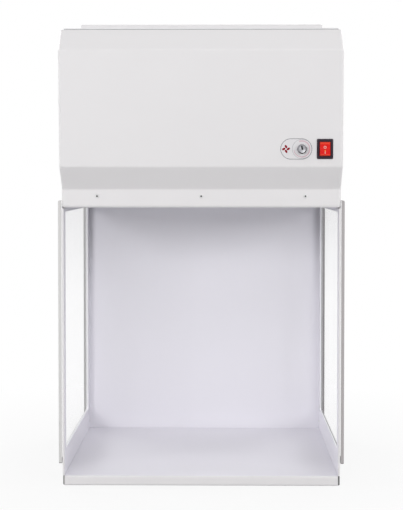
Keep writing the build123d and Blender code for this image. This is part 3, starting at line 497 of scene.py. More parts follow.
class Repeat(Board):
    """A geometry node tree with named inputs."""

    def __init__(self, name, materials, **numbers):
        super().__init__(bpy.data.node_groups.new(name, "GeometryNodeTree"))
        face = self.tree.interface
        face.new_socket("Geometry", in_out="INPUT", socket_type="NodeSocketGeometry")
        self.names = {}
        for key, value in (*numbers.items(), *((key, None) for key in materials)):
            kind = "Material" if value is None else "Int" if isinstance(value, int) else "Float"
            item = face.new_socket(self.label(key), in_out="INPUT", socket_type=f"NodeSocket{kind}")
            if value is not None:
                item.default_value = value
            self.names[key] = item.identifier
        face.new_socket("Geometry", in_out="OUTPUT", socket_type="NodeSocketGeometry")
        self.entry = self.node("NodeGroupInput")

    def label(self, key):
        return key.replace("_", " ").capitalize()

    def values(self, *keys):
        """Links from the tree's inputs."""
        return [self.entry[self.label(key)] for key in keys]

    def make(self, kind, **inputs):
        """First output of a geometry node, with its inputs by name."""
        named = {key.replace("_", " "): value for key, value in inputs.items()}
        return self.node(f"GeometryNode{kind}", None, named)[0]

    def position(self):
        return self.split(self.make("InputPosition"))

    def joined(self, *shapes):
        both = self.node("GeometryNodeJoinGeometry", None, {0: list(shapes)})[0]
        return self.make("RealizeInstances", Geometry=both)

    def finish(self, geometry):
        self.node("NodeGroupOutput", None, {0: geometry})

    def grow(self, seeds, **values):
        """Mesh that the tree makes from seed points."""
        holder = put("seeds", seeds)
        modifier = holder.modifiers.new("Repeat", "NODES")
        modifier.node_group = self.tree
        for key, value in values.items():
            modifier[self.names[key]] = value
        bpy.context.view_layer.update()
        graph = bpy.context.evaluated_depsgraph_get()
        grown = bpy.data.meshes.new_from_object(holder.evaluated_get(graph))
        holder.modifiers.remove(modifier)
        bpy.data.objects.remove(holder)
        bpy.data.meshes.remove(seeds)
        if not grown.polygons:
            raise RuntimeError(f"{self.tree.name} made no faces")
        while grown.materials and grown.materials[0] is None:
            grown.materials.pop(index=0)
        return grown


def seed_points(seats):
    """Points that carry the way each fastener faces and its reach."""
    seeds = bpy.data.meshes.new("seats")
    seeds.from_pydata([seat for seat, facing, reach in seats], [], [])
    seeds.attributes.new("facing", "FLOAT_VECTOR", "POINT")
    seeds.attributes.new("reach", "FLOAT", "POINT")
    for number, (seat, facing, reach) in enumerate(seats):
        seeds.attributes["facing"].data[number].vector = facing
        seeds.attributes["reach"].data[number].value = reach
    return seeds


def fastener_tree():
    """Turned heads with a socket or dimple, on plain shanks, one at each seed point."""
    tree = Repeat(
        "Fasteners",
        ("metal", "recess"),
        head_radius=0.0034,
        head_height=0.002,
        shank_radius=0.0019,
        socket_width=0.0025,
        socket_depth=0.0014,
        hexagon=1.0,
    )
    radius, height, shank_radius = tree.values("head_radius", "head_height", "shank_radius")
    socket_width, socket_depth, hexagon = tree.values("socket_width", "socket_depth", "hexagon")
    metal, recess = tree.values("metal", "recess")

    # A flat disc of seven rings is drawn up into the head. The inner two make the socket.
    socket, floor_edge, axis = 0.36, 0.2, 0.05
    ring_places = [ring / 7 for ring in range(8)]
    spread_curve = (0.0, socket, socket, 0.42, 0.62, 0.82, 0.95, 1.0)
    rise_curve = (0.0, 0.0, 0.97, 1.0, 0.96, 0.82, 0.58, 0.30)
    shape = {"Vertices": 24, "Side Segments": 1, "Fill Segments": 7, "Radius": radius, "Depth": height}
    blank = tree.node("GeometryNodeMeshCylinder", {"fill_type": "NGON"}, shape)["Mesh"]
    x, y, z = tree.position()
    out = tree.length(x, y)
    share = out / radius
    spread, rise = (
        tree.node("ShaderNodeFloatCurve", {"curve": tuple(zip(ring_places, curve))}, {"Value": share})[0]
        for curve in (spread_curve, rise_curve)
    )
    sector = (tree.bearing(x, y) % (math.pi / 3)) - math.pi / 6
    corner = (1.0 / sector.of("COSINE") - 1.0) * hexagon + 1.0
    inner = share.below(socket)
    wide = inner * socket_width * 0.5 * corner * share.above(axis) + (1.0 - inner) * spread * radius
    floor = share.below(floor_edge)
    top = floor * (height - socket_depth) + (1.0 - floor) * rise * height
    grow = wide / out.most(0.0000001)
    drawn = tree.join(x * grow, y * grow, top)
    raised = tree.make("SetPosition", Geometry=blank, Selection=z.above(0.0), Position=drawn)
    settled = tree.make("SetPosition", Geometry=raised, Selection=z.below(0.0), Position=tree.join(x, y, 0.0))
    sunk_x, sunk_y, sunk_z = tree.position()
    in_socket = tree.length(sunk_x, sunk_y).below(socket_width * 0.56) * sunk_z.above(0.1 * MM)
    plated = tree.make("SetMaterial", Geometry=settled, Material=metal)
    # Painted shade: the socket's faces take the dark recess material.
    head = tree.make("SetMaterial", Geometry=plated, Selection=in_socket, Material=recess)

    # The shank is one metre long and scaled to its reach.
    shape = {"Vertices": 16, "Side Segments": 1, "Fill Segments": 1, "Radius": shank_radius, "Depth": 1.0}
    rod = tree.node("GeometryNodeMeshCylinder", {"fill_type": "NGON"}, shape)["Mesh"]
    hung = tree.make("Transform", Geometry=rod, Translation=(0.0, 0.0, -0.5))
    shank = tree.make("SetMaterial", Geometry=hung, Material=metal)

    facing, reach = (
        tree.node("GeometryNodeInputNamedAttribute", {"data_type": kind}, {"Name": name})[0]
        for name, kind in (("facing", "FLOAT_VECTOR"), ("reach", "FLOAT"))
    )
    turn = tree.node("FunctionNodeAlignRotationToVector", {"axis": "Z"}, {"Vector": facing})[0]
    seats = tree.make("MeshToPoints", Mesh=tree.values("geometry")[0])
    heads = tree.make("InstanceOnPoints", Points=seats, Instance=head, Rotation=turn)
    long = tree.join(1.0, 1.0, reach)
    shanks = tree.make("InstanceOnPoints", Points=seats, Instance=shank, Rotation=turn, Scale=long)
    tree.finish(tree.joined(heads, shanks))
    return tree


def perforated_tree():
    """Flat plate with rows of holes, centred on the origin."""
    tree = Repeat(
        "Perforated plate",
        ("metal",),
        length=0.1,
        breadth=0.1,
        pitch_x=0.01,
        pitch_y=0.01,
        columns=8,
        rows=8,
        hole=0.003,
        sides=8,
    )
    length, breadth, pitch_x, pitch_y = tree.values("length", "breadth", "pitch_x", "pitch_y")
    columns, rows, hole, sides = tree.values("columns", "rows", "hole", "sides")

    # One cell: the hole's rim, drawn out to a square.
    ring = tree.node("GeometryNodeMeshCircle", {"fill_type": "NONE"}, {"Vertices": sides, "Radius": 1.0})[0]
    turned = tree.make("Transform", Geometry=ring, Rotation=tree.join(0.0, 0.0, math.pi / sides))
    rim = tree.make("Transform", Geometry=turned, Scale=tree.join(hole, hole, 1.0))
    drawn = tree.node("GeometryNodeExtrudeMesh", {"mode": "EDGES"}, {"Mesh": rim, "Offset Scale": 0.0})
    x, y, z = tree.position()
    corner = tree.join(x.of("SIGN") * pitch_x * 0.5, y.of("SIGN") * pitch_y * 0.5, 0.0)
    squared = tree.make("SetPosition", Geometry=drawn["Mesh"], Selection=drawn["Top"], Position=corner)
    cell = tree.make("MergeByDistance", Geometry=squared, Distance=0.01 * MM)
    field_x, field_y = (columns - 1) * pitch_x, (rows - 1) * pitch_y
    centres = tree.make("MeshGrid", Size_X=field_x, Size_Y=field_y, Vertices_X=columns, Vertices_Y=rows)
    cells = tree.make("InstanceOnPoints", Points=centres, Instance=cell)

    # The plain border: a wider grid without the field's faces, drawn out to the plate's edges.
    half_x, half_y = columns * pitch_x * 0.5, rows * pitch_y * 0.5
    wide_x, wide_y = (columns + 2) * pitch_x, (rows + 2) * pitch_y
    grid = tree.make("MeshGrid", Size_X=wide_x, Size_Y=wide_y, Vertices_X=columns + 3, Vertices_Y=rows + 3)
    x, y, z = tree.position()
    inside = abs(x).below(half_x) * abs(y).below(half_y)
    cleared = {"Geometry": grid, "Selection": inside}
    margin = tree.node("GeometryNodeDeleteGeometry", {"domain": "FACE", "mode": "ONLY_FACE"}, cleared)[0]
    x, y, z = tree.position()
    far_x = abs(x).above(half_x + pitch_x * 0.5)
    far_y = abs(y).above(half_y + pitch_y * 0.5)
    edge_x = far_x * x.of("SIGN") * length * 0.5 + (1 - far_x) * x
    edge_y = far_y * y.of("SIGN") * breadth * 0.5 + (1 - far_y) * y
    border = tree.make("SetPosition", Geometry=margin, Position=tree.join(edge_x, edge_y, 0.0))
    skin = tree.make("MergeByDistance", Geometry=tree.joined(cells, border), Distance=0.02 * MM)
    tree.finish(tree.make("SetMaterial", Geometry=skin, Material=tree.values("metal")[0]))
    return tree


# ---------------------------------------------------------------- settings


def colour(name, description, default):
    return bpy.props.FloatVectorProperty(
        name=name, description=description, default=default, subtype="COLOR", size=3
    )


def length(name, description, default, precision=5):
    return bpy.props.FloatProperty(
        name=name, description=description, default=default, unit="LENGTH", precision=precision
    )


def angle(name, description, default):
    return bpy.props.FloatProperty(name=name, description=description, default=default, subtype="ANGLE")


def watts(name, description, default):
    return bpy.props.FloatProperty(name=name, description=description, default=default, unit="POWER", min=0.0)


class FlowHoodCoat(bpy.types.PropertyGroup):
    cover: colour("Cover colour", "Colour of the outer powder coat", (0.716, 0.703, 0.712))
    # Painted light: the chamber colour is the cover's coat made lighter and cooler, standing in for the light
    # inside the work chamber.
    chamber: colour("Chamber colour", "Colour of the coat in the work chamber", (0.80, 0.787, 0.838))
    peel: length("Orange peel", "Depth of the powder coat's fine relief", 0.00004, 6)


class FlowHoodGlazing(bpy.types.PropertyGroup):
    tone: colour("Pane colour", "Colour of the clear panes", (0.985, 0.99, 0.995))
    # Painted light: both edges are the same sawn acrylic, the left one lighter as if lit and the right one darker
    # as if shaded.
    left_edge: colour("Left edge colour", "Colour of the left pane's sawn edges", (0.63, 0.625, 0.62))
    right_edge: colour("Right edge colour", "Colour of the right pane's sawn edges", (0.41, 0.39, 0.395))
    bevel: length("Edge bevel", "Flat polished on the pane's outer edges", 0.0005)


class FlowHoodFasteners(bpy.types.PropertyGroup):
    head_radius: length("Head radius", "Radius of the screw heads", 0.0034)
    head_height: length("Head height", "Height of the screw heads", 0.002)
    shank_radius: length("Shank radius", "Radius of the screws' shanks", 0.0019)
    socket: length("Socket width", "Hexagon key size over its flats", 0.0025)
    cover_socket: length("Cover socket width", "Key size of the painted screws in the lintel", 0.0028)
    rivet_radius: length("Rivet radius", "Radius of the rivet heads", 0.0032)
    rivet_height: length("Rivet height", "Height of the rivet heads", 0.0012)


class FlowHoodGrilles(bpy.types.PropertyGroup):
    diffuser_pitch: length("Diffuser pitch", "Spacing of the diffuser's round holes", 0.0105)
    diffuser_open: bpy.props.FloatProperty(
        name="Diffuser hole",
        description="Hole radius as a share of the pitch",
        default=0.34,
        subtype="FACTOR",
        min=0.1,
        max=0.48,
    )
    grille_pitch: length("Grille pitch", "Spacing of the prefilter grille's square holes", 0.0125)
    grille_bar: length("Grille bar", "Width of the bars between the square holes", 0.0025)


class FlowHoodControls(bpy.types.PropertyGroup):
    red: colour("Rocker colour", "Colour of the rocker's lens", (0.70, 0.011, 0.008))
    sign: colour("Sign colour", "Colour of the fan sign on the dial", (0.24, 0.004, 0.016))
    pointer_turn: angle("Pointer turn", "Turn of the knob's pointer from straight up", math.radians(12.0))
    pointer_width: length("Pointer width", "Width of the knob's inlaid pointer", 0.0027)


class FlowHoodStage(bpy.types.PropertyGroup):
    eye: bpy.props.FloatVectorProperty(
        name="Camera position",
        description="Place of the camera",
        default=(0.029104, -2.41074, 0.487314),
        subtype="TRANSLATION",
        unit="LENGTH",
        size=3,
        precision=5,
    )
    yaw: angle("Camera yaw", "Turn of the camera away from straight ahead", -0.0130)
    pitch: angle("Camera pitch", "Tilt of the camera below the horizon", 0.0367)
    lens: bpy.props.FloatProperty(
        name="Focal length", description="Focal length of the camera in millimetres", default=98.41, min=20.0
    )
    rise: bpy.props.FloatProperty(
        name="Vertical shift", description="Shift of the picture up or down", default=-0.0496
    )
    sky: bpy.props.FloatProperty(
        name="Surround light", description="Strength of the even light from all round", default=0.20, min=0.0
    )
    front: watts("Front lamp", "Power of the low lamp in front at the left", 34.0)
    fill: watts("Fill lamps", "Power shared by the low lamps in front at the right", 22.5)
    above: watts("Upper lamps", "Power of each lamp above", 11.5)
    sides: watts("Side lamps", "Power of each lamp beside the hood", 22.0)
    back: watts("Back lamps", "Power of each lamp behind the hood", 20.0)


def group(kind, name, description):
    return bpy.props.PointerProperty(name=name, description=description, type=kind)


class FlowHoodSettings(bpy.types.PropertyGroup):
    coat: group(FlowHoodCoat, "Coat", "Powder coat")
    glazing: group(FlowHoodGlazing, "Glazing", "Side panes")
    fasteners: group(FlowHoodFasteners, "Fasteners", "Screws and rivets")
    grilles: group(FlowHoodGrilles, "Grilles", "Perforated plates")
    controls: group(FlowHoodControls, "Controls", "Knob, dial and rocker")
    stage: group(FlowHoodStage, "Stage", "Camera, lamps and floor")


# ---------------------------------------------------------------- operators


class FLOWHOOD_OT_cabinet(bpy.types.Operator):
    """Coat the folded panels, tray, lid and shelf"""

    bl_idname = "flowhood.cabinet"
    bl_label = "Coat the cabinet"

    def execute(self, context):
        coat = context.scene.flow_hood.coat
        cover, chamber, peel = tuple(coat.cover), tuple(coat.chamber), coat.peel
        assign(powder_coat("cover_coat", cover, peel), "front_cover", "prefilter_frame")
        assign(powder_coat("lid_coat", (0.70, 0.70, 0.71), peel), "top_lid")
        # The tray and the chamber sides of the walls take the chamber colour, which is painted light; the lip and
        # outer faces keep the cover colour.
        assign(powder_coat("tray_coat", chamber, peel, regions=self.tray_regions(cover)), "work_tray")
        assign(powder_coat("back_coat", cover, peel, regions=self.back_regions(chamber)), "back_panel")
        for side in ("left", "right"):
            regions = self.panel_regions(side, cover, chamber)
            assign(powder_coat(f"{side}_panel_coat", cover, peel, regions=regions), f"{side}_side_panel")
        assign(foam("dark_foam", (0.36, 0.36, 0.37)), "top_seal")
        assign(foam("grey_foam", (0.50, 0.50, 0.52)), "left_pane_tape", "right_pane_tape")
        assign(foam("gasket_rubber", (0.02, 0.02, 0.022)), "filter_gasket")
        assign(galvanised("galvanised_sheet"), "filter_shelf", "filter_clamps")
        return {"FINISHED"}

    def tray_regions(self, cover):
        """Cover tone on the tray's front lip."""
        lip = -0.2134
        return lambda x, y, z: [(y.below(lip), cover)]

    def back_regions(self, chamber):
        """Chamber tone on the wall's front, with painted shade in the upper corners beside the side panels."""
        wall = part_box("work_tray")[1].x
        front = 0.2136
        corner, fade = 14.0 * MM, 10.0 * MM
        foot, climb = 0.26, 0.16
        painted_shade_share = 0.7
        # Painted shade: the upper corners are darkened towards this tone, most at the top.
        deep = toned(chamber, 0.55)

        def regions(x, y, z):
            inside = y.below(front)
            beside = abs(x).rise(wall - corner, fade)
            return [(inside, chamber), (inside * beside * z.rise(foot, climb) * painted_shade_share, deep)]

        return regions

    def panel_regions(self, side, cover, chamber):
        """Tones of a side panel: chamber side, cut edges of the window, front edge and toe, most of them painted
        light.
        """
        low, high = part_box(f"{side}_side_panel")
        outside = max(abs(low.x), abs(high.x))
        inside = outside - PANEL
        core = outside - PANEL / 2
        tape_low, tape_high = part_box(f"{side}_pane_tape")
        window = (tape_low + tape_high) / 2
        covered = 11.8 * MM  # the window's cut edge lies this far inside the tape's outline
        half = (tape_high - tape_low) / 2 - Vector((0.0, covered, covered))
        toe_reach, toe_height = 6.5 * MM, 15.8 * MM
        # Painted shade on the toe, darker on the right panel; on the window's outer cut edge a painted highlight
        # on the left panel and painted shade on the right.
        toe, painted_outer_edge = (0.17, 0.32) if side == "right" else (0.38, 0.95)
        # Painted shade: the left panel's chamber side is made darker.
        wall = chamber if side == "right" else toned(chamber, 0.9)

        def regions(x, y, z):
            across = abs(x)
            cut = y.near(window.y, half.y) * z.near(window.z, half.z)
            return [
                (across.below(inside + 0.2 * MM), wall),
                (y.below(low.y + 0.6 * MM), cover),
                # The window's cut edge: grey painted shade, with a painted highlight on its inner half.
                (cut, (0.70, 0.70, 0.73)),
                (cut * across.below(core - 0.5 * MM), (0.95, 0.95, 0.97)),
                (cut * across.above(core + 0.5 * MM), grey(painted_outer_edge)),
                (y.below(low.y + toe_reach) * z.below(toe_height), grey(toe)),
            ]

        return regions


class FLOWHOOD_OT_panes(bpy.types.Operator):
    """Cut the two clear side panes, with bevelled and sawn edges"""

    bl_idname = "flowhood.panes"
    bl_label = "Make the side panes"

    def execute(self, context):
        glazing = context.scene.flow_hood.glazing
        clear = self.clear_sheet(tuple(glazing.tone))
        # Each pane's edge gets its own tone: painted light, lighter on the left and darker on the right.
        for side, tone in (("left", glazing.left_edge), ("right", glazing.right_edge)):
            node = f"{side}_pane"
            low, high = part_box(node)
            sawn = self.sawn_edge(f"{side}_sawn_edge", tuple(tone), low.z)
            outward = 1 if side == "right" else -1
            slab = self.slab(low, high, outward, glazing.bevel)
            piece(f"{side}_window_pane", slab, [clear, sawn], CABINET, [node])
        return {"FINISHED"}

    def clear_sheet(self, tone):
        """Clear acrylic, less clear towards its top, a painted reflection of the darker chamber top."""
        sheet = Finish("polished_acrylic", tone, 0.02, IOR=1.49)
        spot = sheet.place()
        haze = sheet.noise(spot, 26.0, 4.0, 0.6)
        foot, climb, painted_reflection = 0.28, 0.16, 0.11
        height = sheet.split(spot)[2]
        sheet.wear(Roughness=haze.level(0.01, 0.05))
        # Painted reflection: the pane turns more opaque towards its top.
        sheet.wear(Alpha=haze.level(0.05, 0.08) + height.rise(foot, climb) * painted_reflection)
        return sheet.material

    def sawn_edge(self, name, tone, foot):
        """Sawn edge, darker along its foot."""
        edge = Finish(name, tone, 0.5, Specular_IOR_Level=0.2)
        spot = edge.place()
        darker_foot = edge.split(spot)[2].below(foot + 1.6 * MM)
        marks = edge.noise(edge.vector("MULTIPLY", spot, (1.0, 1.0, 0.15)), 1400.0, 2.0)
        sawn = edge.tint(marks, toned(tone, 0.95), tone)
        # The strip along the pane's foot is darkened.
        tone = edge.tint(darker_foot * 0.6, sawn, (0.16, 0.15, 0.15))
        return edge.worn(tone, marks.level(0.45, 0.6), marks, 0.01 * MM)

    def slab(self, low, high, outward, bevel):
        """Pane with rounded corners and a bevel round both faces, the wider one outside."""
        corner, steps = 3.0 * MM, 6
        centre = (low + high) / 2
        outline = []
        ends = ((high.y, high.z), (low.y, high.z), (low.y, low.z), (high.y, low.z))
        for number, (y_end, z_end) in enumerate(ends):
            y_mid = y_end - math.copysign(corner, y_end - centre.y)
            z_mid = z_end - math.copysign(corner, z_end - centre.z)
            turns = [math.radians(90.0 * (number + step / steps)) for step in range(steps + 1)]
            outline += [(y_mid, z_mid, turn) for turn in turns]
        inner_x, outer_x = (low.x, high.x) if outward > 0 else (high.x, low.x)
        small = bevel * 0.6
        sections = (
            (inner_x, small),
            (inner_x + outward * small, 0.0),
            (outer_x - outward * bevel, 0.0),
            (outer_x, bevel),
        )
        rings = []
        for x, inset in sections:
            reach = corner - inset
            rings.append([(x, y + reach * math.cos(turn), z + reach * math.sin(turn)) for y, z, turn in outline])
        form, walls = wrap_rings(rings)
        for number, wall in enumerate(walls):
            for face in wall:
                face.material_index = 1
                face.smooth = number == 1
        return to_mesh(form)


class FLOWHOOD_OT_fasteners(bpy.types.Operator):
    """Set the screws and rivets in place of the plain ones"""

    bl_idname = "flowhood.fasteners"
    bl_label = "Set the fasteners"

    def execute(self, context):
        sizes = context.scene.flow_hood.fasteners
        painted = powder_coat("painted_steel", (0.71, 0.705, 0.71), 0.01 * MM)
        screw = {
            "head_radius": sizes.head_radius,
            "head_height": sizes.head_height,
            "shank_radius": sizes.shank_radius,
            "socket_width": sizes.socket,
            "socket_depth": sizes.head_height * 0.72,
            "hexagon": 1.0,
            "metal": plated_steel("bright_steel", (0.80, 0.80, 0.81), 0.24),
            # The near-black material in sockets and dimples is painted shade.
            "recess": moulded_plastic("socket_recess", (0.012, 0.012, 0.014), 0.6),
        }
        cover_screw = dict(screw, metal=painted, socket_width=sizes.cover_socket)
        rivet = dict(screw, hexagon=0.0, head_radius=sizes.rivet_radius, head_height=sizes.rivet_height)
        rivet.update(socket_width=1.8 * MM, socket_depth=sizes.rivet_height * 0.45)
        rivet.update(metal=plated_steel("rivet_aluminium", (0.78, 0.78, 0.79), 0.34))
        up, back = Vector((0, 0, 1)), Vector((0, 1, 0))
        deck = 0.7  # the fan's screws above this height face up, those below it down
        screws = {
            "front_cover_screws": lambda low, high: -back,
            "tray_screws": self.sideways,
            "lid_screws": lambda low, high: up,
            "clamp_screws": lambda low, high: -self.sideways(low, high),
            "fan_screws": lambda low, high: up if high.z > deck else -up,
            "board_screws": lambda low, high: Vector((-1, 0, 0)),
            "mains_inlet_screws": lambda low, high: back,
        }
        tree = fastener_tree()
        for node, way in screws.items():
            kind = cover_screw if node == "front_cover_screws" else screw
            piece(f"{node}_turned", self.turned(tree, node, way, kind), [], CABINET, [node])
        data = self.turned(tree, "panel_rivets", self.sideways, rivet)
        piece("panel_rivets_set", data, [], CABINET, ["panel_rivets"])
        assign(plated_steel("zinc_plate", (0.72, 0.72, 0.73), 0.3), "tray_nuts", "fan_posts", "potentiometer_nut")
        return {"FINISHED"}

    def sideways(self, low, high):
        """Way out of the cabinet's nearer side."""
        return Vector((math.copysign(1, low.x), 0, 0))

    def turned(self, tree, node, way, sizes):
        """One mesh of all the fasteners in a CAD node."""
        seats = [self.seat(low, high, way(low, high), sizes["head_height"]) for low, high in solids_of(node)]
        data = tree.grow(seed_points(seats), **sizes)
        smooth(data)
        return data

    def seat(self, low, high, way, head):
        """Seat point, direction and shank length of a fastener from its box."""
        axis = max(range(3), key=lambda number: abs(way[number]))
        tip, tail = (high, low) if way[axis] > 0 else (low, high)
        point = (low + high) / 2
        point[axis] = tip[axis] - way[axis] * head
        return point, way, abs(point[axis] - tail[axis])


class FLOWHOOD_OT_grilles(bpy.types.Operator):
    """Perforate the air diffuser and the prefilter's grille"""

    bl_idname = "flowhood.grilles"
    bl_label = "Perforate the grilles"

    def execute(self, context):
        sizes = context.scene.flow_hood.grilles
        tree = perforated_tree()
        coat = powder_coat("grille_coat", (0.78, 0.78, 0.79), 0.03 * MM)
        round_hole = sizes.diffuser_open * sizes.diffuser_pitch
        square_hole = (sizes.grille_pitch - sizes.grille_bar) / math.sqrt(2)
        self.plate(tree, "air_diffuser", 19.0 * MM, sizes.diffuser_pitch, round_hole, 8, coat)
        self.plate(tree, "prefilter_grille", 10.0 * MM, sizes.grille_pitch, square_hole, 4, coat)
        assign(fleece("filter_fleece"), "prefilter_pad")
        return {"FINISHED"}

    def plate(self, tree, node, margin, pitch, hole, sides, coat):
        """Perforated plate in the box of a CAD node, with a plain margin."""
        low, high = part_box(node)
        length, breadth, thickness = high - low
        columns, rows = (round((side - 2 * margin) / pitch) for side in (length, breadth))
        data = tree.grow(
            bpy.data.meshes.new("plate"),
            length=length,
            breadth=breadth,
            pitch_x=(length - 2 * margin) / columns,
            pitch_y=(breadth - 2 * margin) / rows,
            columns=columns,
            rows=rows,
            hole=hole,
            sides=sides,
            metal=coat,
        )
        form = bmesh.new()
        form.from_mesh(data)
        bmesh.ops.translate(form, verts=form.verts, vec=Vector((*(low + high).xy / 2, low.z)))
        bmesh.ops.solidify(form, geom=form.faces[:], thickness=thickness)
        lowest = min(vert.co.z for vert in form.verts)
        bmesh.ops.translate(form, verts=form.verts, vec=(0, 0, low.z - lowest))
        bmesh.ops.recalc_face_normals(form, faces=form.faces)
        form.to_mesh(data)
        form.free()
        piece(f"{node}_plate", data, [], CABINET, [node])


class FLOWHOOD_OT_filter(bpy.types.Operator):
    """Finish the filter pack and its frame"""

    bl_idname = "flowhood.filter"
    bl_label = "Finish the filter"

    def execute(self, context):
        assign(filter_paper("filter_paper"), "filter_media")
        bare = ("filter_frame", "motor_stator", "potentiometer_shaft", "controller_heat_sink")
        assign(brushed_aluminium("mill_aluminium"), *bare)
        return {"FINISHED"}


class FLOWHOOD_OT_fan(bpy.types.Operator):
    """Finish the inlet ring, wheel, motor and bracket"""

    bl_idname = "flowhood.fan"
    bl_label = "Finish the fan"

    def execute(self, context):
        assign(galvanised("galvanised_fan_parts"), "inlet_ring", "motor_bracket")
        assign(moulded_plastic("fan_plastic", (0.018, 0.018, 0.02), 0.5), "fan_wheel")
        assign(enamel("rotor_enamel", (0.02, 0.02, 0.022)), "motor_rotor")
        return {"FINISHED"}


class FLOWHOOD_OT_dial(bpy.types.Operator):
    """Print the speed dial's film"""

    bl_idname = "flowhood.dial"
    bl_label = "Print the dial"

    def execute(self, context):
        sign = context.scene.flow_hood.controls.sign
        film = Finish("printed_film", (0.71, 0.70, 0.71), 0.4, Specular_IOR_Level=0.12)
        u, v, w = film.on_face(middle("speed_knob"))
        out = film.length(u, v)

        # Printed line just inside the film's rim, and an arc round the knob where the film is free.
        offset, straight, end_radius = 8.6, 8.3, 16.2
        rim = film.length((abs(u + offset) - straight).most(0.0), v) - end_radius
        outline = rim.near(-0.45, 0.42)
        circle = out.near(14.7, 0.26) * u.below(8.0)

        # Scale that widens as it runs round the knob.
        start, sweep = math.radians(190.0), math.radians(280.0)
        share = (film.bearing(u, v) - start) % (2 * math.pi) / sweep
        scale = out.near(12.3, share * 0.8 + 0.4) * share.below(1.0)

        fan = self.blades(film, u + 24.4, v)
        plain = film.tint(film.noise(film.place(), 400.0), (0.69, 0.678, 0.69), (0.72, 0.707, 0.72))
        ringed = film.tint(outline.most(circle * 0.65), plain, (0.19, 0.19, 0.21))
        scaled = film.tint(scale * share.level(0.7, 0.5), ringed, (0.54, 0.25, 0.32))
        printed = film.tint(fan, scaled, tuple(sign))
        assign(film.worn(printed, outline.most(fan).level(0.3, 0.42)), "dial_plate")
        assign(moulded_plastic("control_black", (0.012, 0.012, 0.014), 0.4), "potentiometer")
        return {"FINISHED"}

    def blades(self, film, x, y):
        """Mask of a fan sign with four oval blades, in millimetres."""
        quarter = math.pi / 2
        reach, offset, lean = 3.6, 0.1, math.radians(30.0)
        half_length, half_width = 2.8, 1.75
        turn = (film.bearing(x, y) + quarter / 2) % quarter - quarter / 2
        out = film.length(x, y)
        along = out * turn.of("COSINE") - reach
        across = out * turn.of("SINE") - offset
        first = along * math.cos(lean) + across * math.sin(lean)
        second = across * math.cos(lean) - along * math.sin(lean)
        return film.length(first / half_length, second / half_width).below(1.0)


class FLOWHOOD_OT_knob(bpy.types.Operator):
    """Turn the speed knob and its pointer"""

    bl_idname = "flowhood.knob"
    bl_label = "Turn the knob"

    def execute(self, context):
        controls = context.scene.flow_hood.controls
        low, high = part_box("speed_knob")
        height = 14.0
        centre = (low + high) / 2 - FACE_NORMAL * height * MM / 2
        matrix = on_face(centre)
        radius = (high.x - low.x) / 2 / MM
        cap, chamfer, dish, bore = radius - 1.5, 0.8, 0.12, 3.0
        rim = cap - chamfer * 0.7
        profile = [
            (bore, 0.6),
            (radius - 1.0, 0.6),
            (radius - 1.0, 0.0),
            (radius, 0.0),
            (radius, 3.4),
            (radius - 0.3, 4.0),
            (cap + 0.5, height - 3.4),
            (cap, height - 3.0),
            (cap, height - chamfer),
            (rim, height - 0.02),
            (rim - 0.2, height - 0.02),
            (rim - 0.5, height - dish),
            (0.2, height - dish),
        ]
        data = to_mesh(lathe(profile, 96, matrix, 32, 0.3, (7, 8)))
        smooth(data, 30.0)
        piece("speed_knob_turned", data, [self.spun(centre)], "knob", ["speed_knob"])
        black = moulded_plastic("pointer_black", (0.008, 0.008, 0.009), 0.4, shine=0.15)
        turn = matrix @ Matrix.Rotation(controls.pointer_turn, 4, "Z")
        hand = self.hand(turn, height - dish, cap - 0.05, controls.pointer_width / MM)
        piece("knob_pointer_inlay", hand, [black], "knob", ["knob_pointer"])
        return {"FINISHED"}

    def hand(self, matrix, top, reach, width):
        """Inlaid pointer with rounded ends, from the knob's middle to its rim."""
        half, steps = width / 2, 8
        outline = []
        for centre, start in ((reach - half, 0.0), (0.3, math.pi)):
            for step in range(steps + 1):
                turn = start + math.pi * step / steps
                outline.append((half * math.cos(turn), centre + half * math.sin(turn)))
        inset = [(x * 0.86, y - math.copysign(0.07 * half, y - reach / 2)) for x, y in outline]
        levels = ((outline, top - 0.5), (outline, top + 0.05), (inset, top + 0.12))
        rings = [[matrix @ Vector((x, y, height)) for x, y in ring] for ring, height in levels]
        return to_mesh(wrap_rings(rings)[0])

    def spun(self, centre):
        """Aluminium turned in fine rings, with a painted highlight across its cap and painted shade on its fluted
        skirt, darkest at the lower right.
        """
        metal = Finish("spun_aluminium", (0.40, 0.40, 0.42), 0.55, Metallic=0.6, Specular_IOR_Level=0.3)
        u, v, w = metal.on_face(centre)
        out = metal.length(u, v)
        rings = metal.noise(metal.join(out, 0.0, w), 9.0, 2.0)
        # Painted highlight: two brighter sectors across the cap.
        painted_highlight = (metal.bearing(u, v) * 2.0 - math.radians(250.0)).of("COSINE") * 0.5 + 0.5
        disc = metal.tint(painted_highlight, (0.27, 0.27, 0.29), (0.52, 0.52, 0.54))
        lined = metal.tint(rings * 0.4, disc, (0.30, 0.30, 0.32))
        # Painted shade: the skirt darkens towards the lower right.
        painted_shade_low_right = (u * 0.6 - v * 0.8) / out.most(0.5)
        skirt = metal.tint(painted_shade_low_right.rise(-0.35, 1.0), (0.27, 0.27, 0.29), (0.035, 0.035, 0.04))
        cap = 5.4
        return metal.worn(metal.tint(out.above(cap), lined, skirt), rings.level(0.42, 0.58), rings, 0.02 * MM)


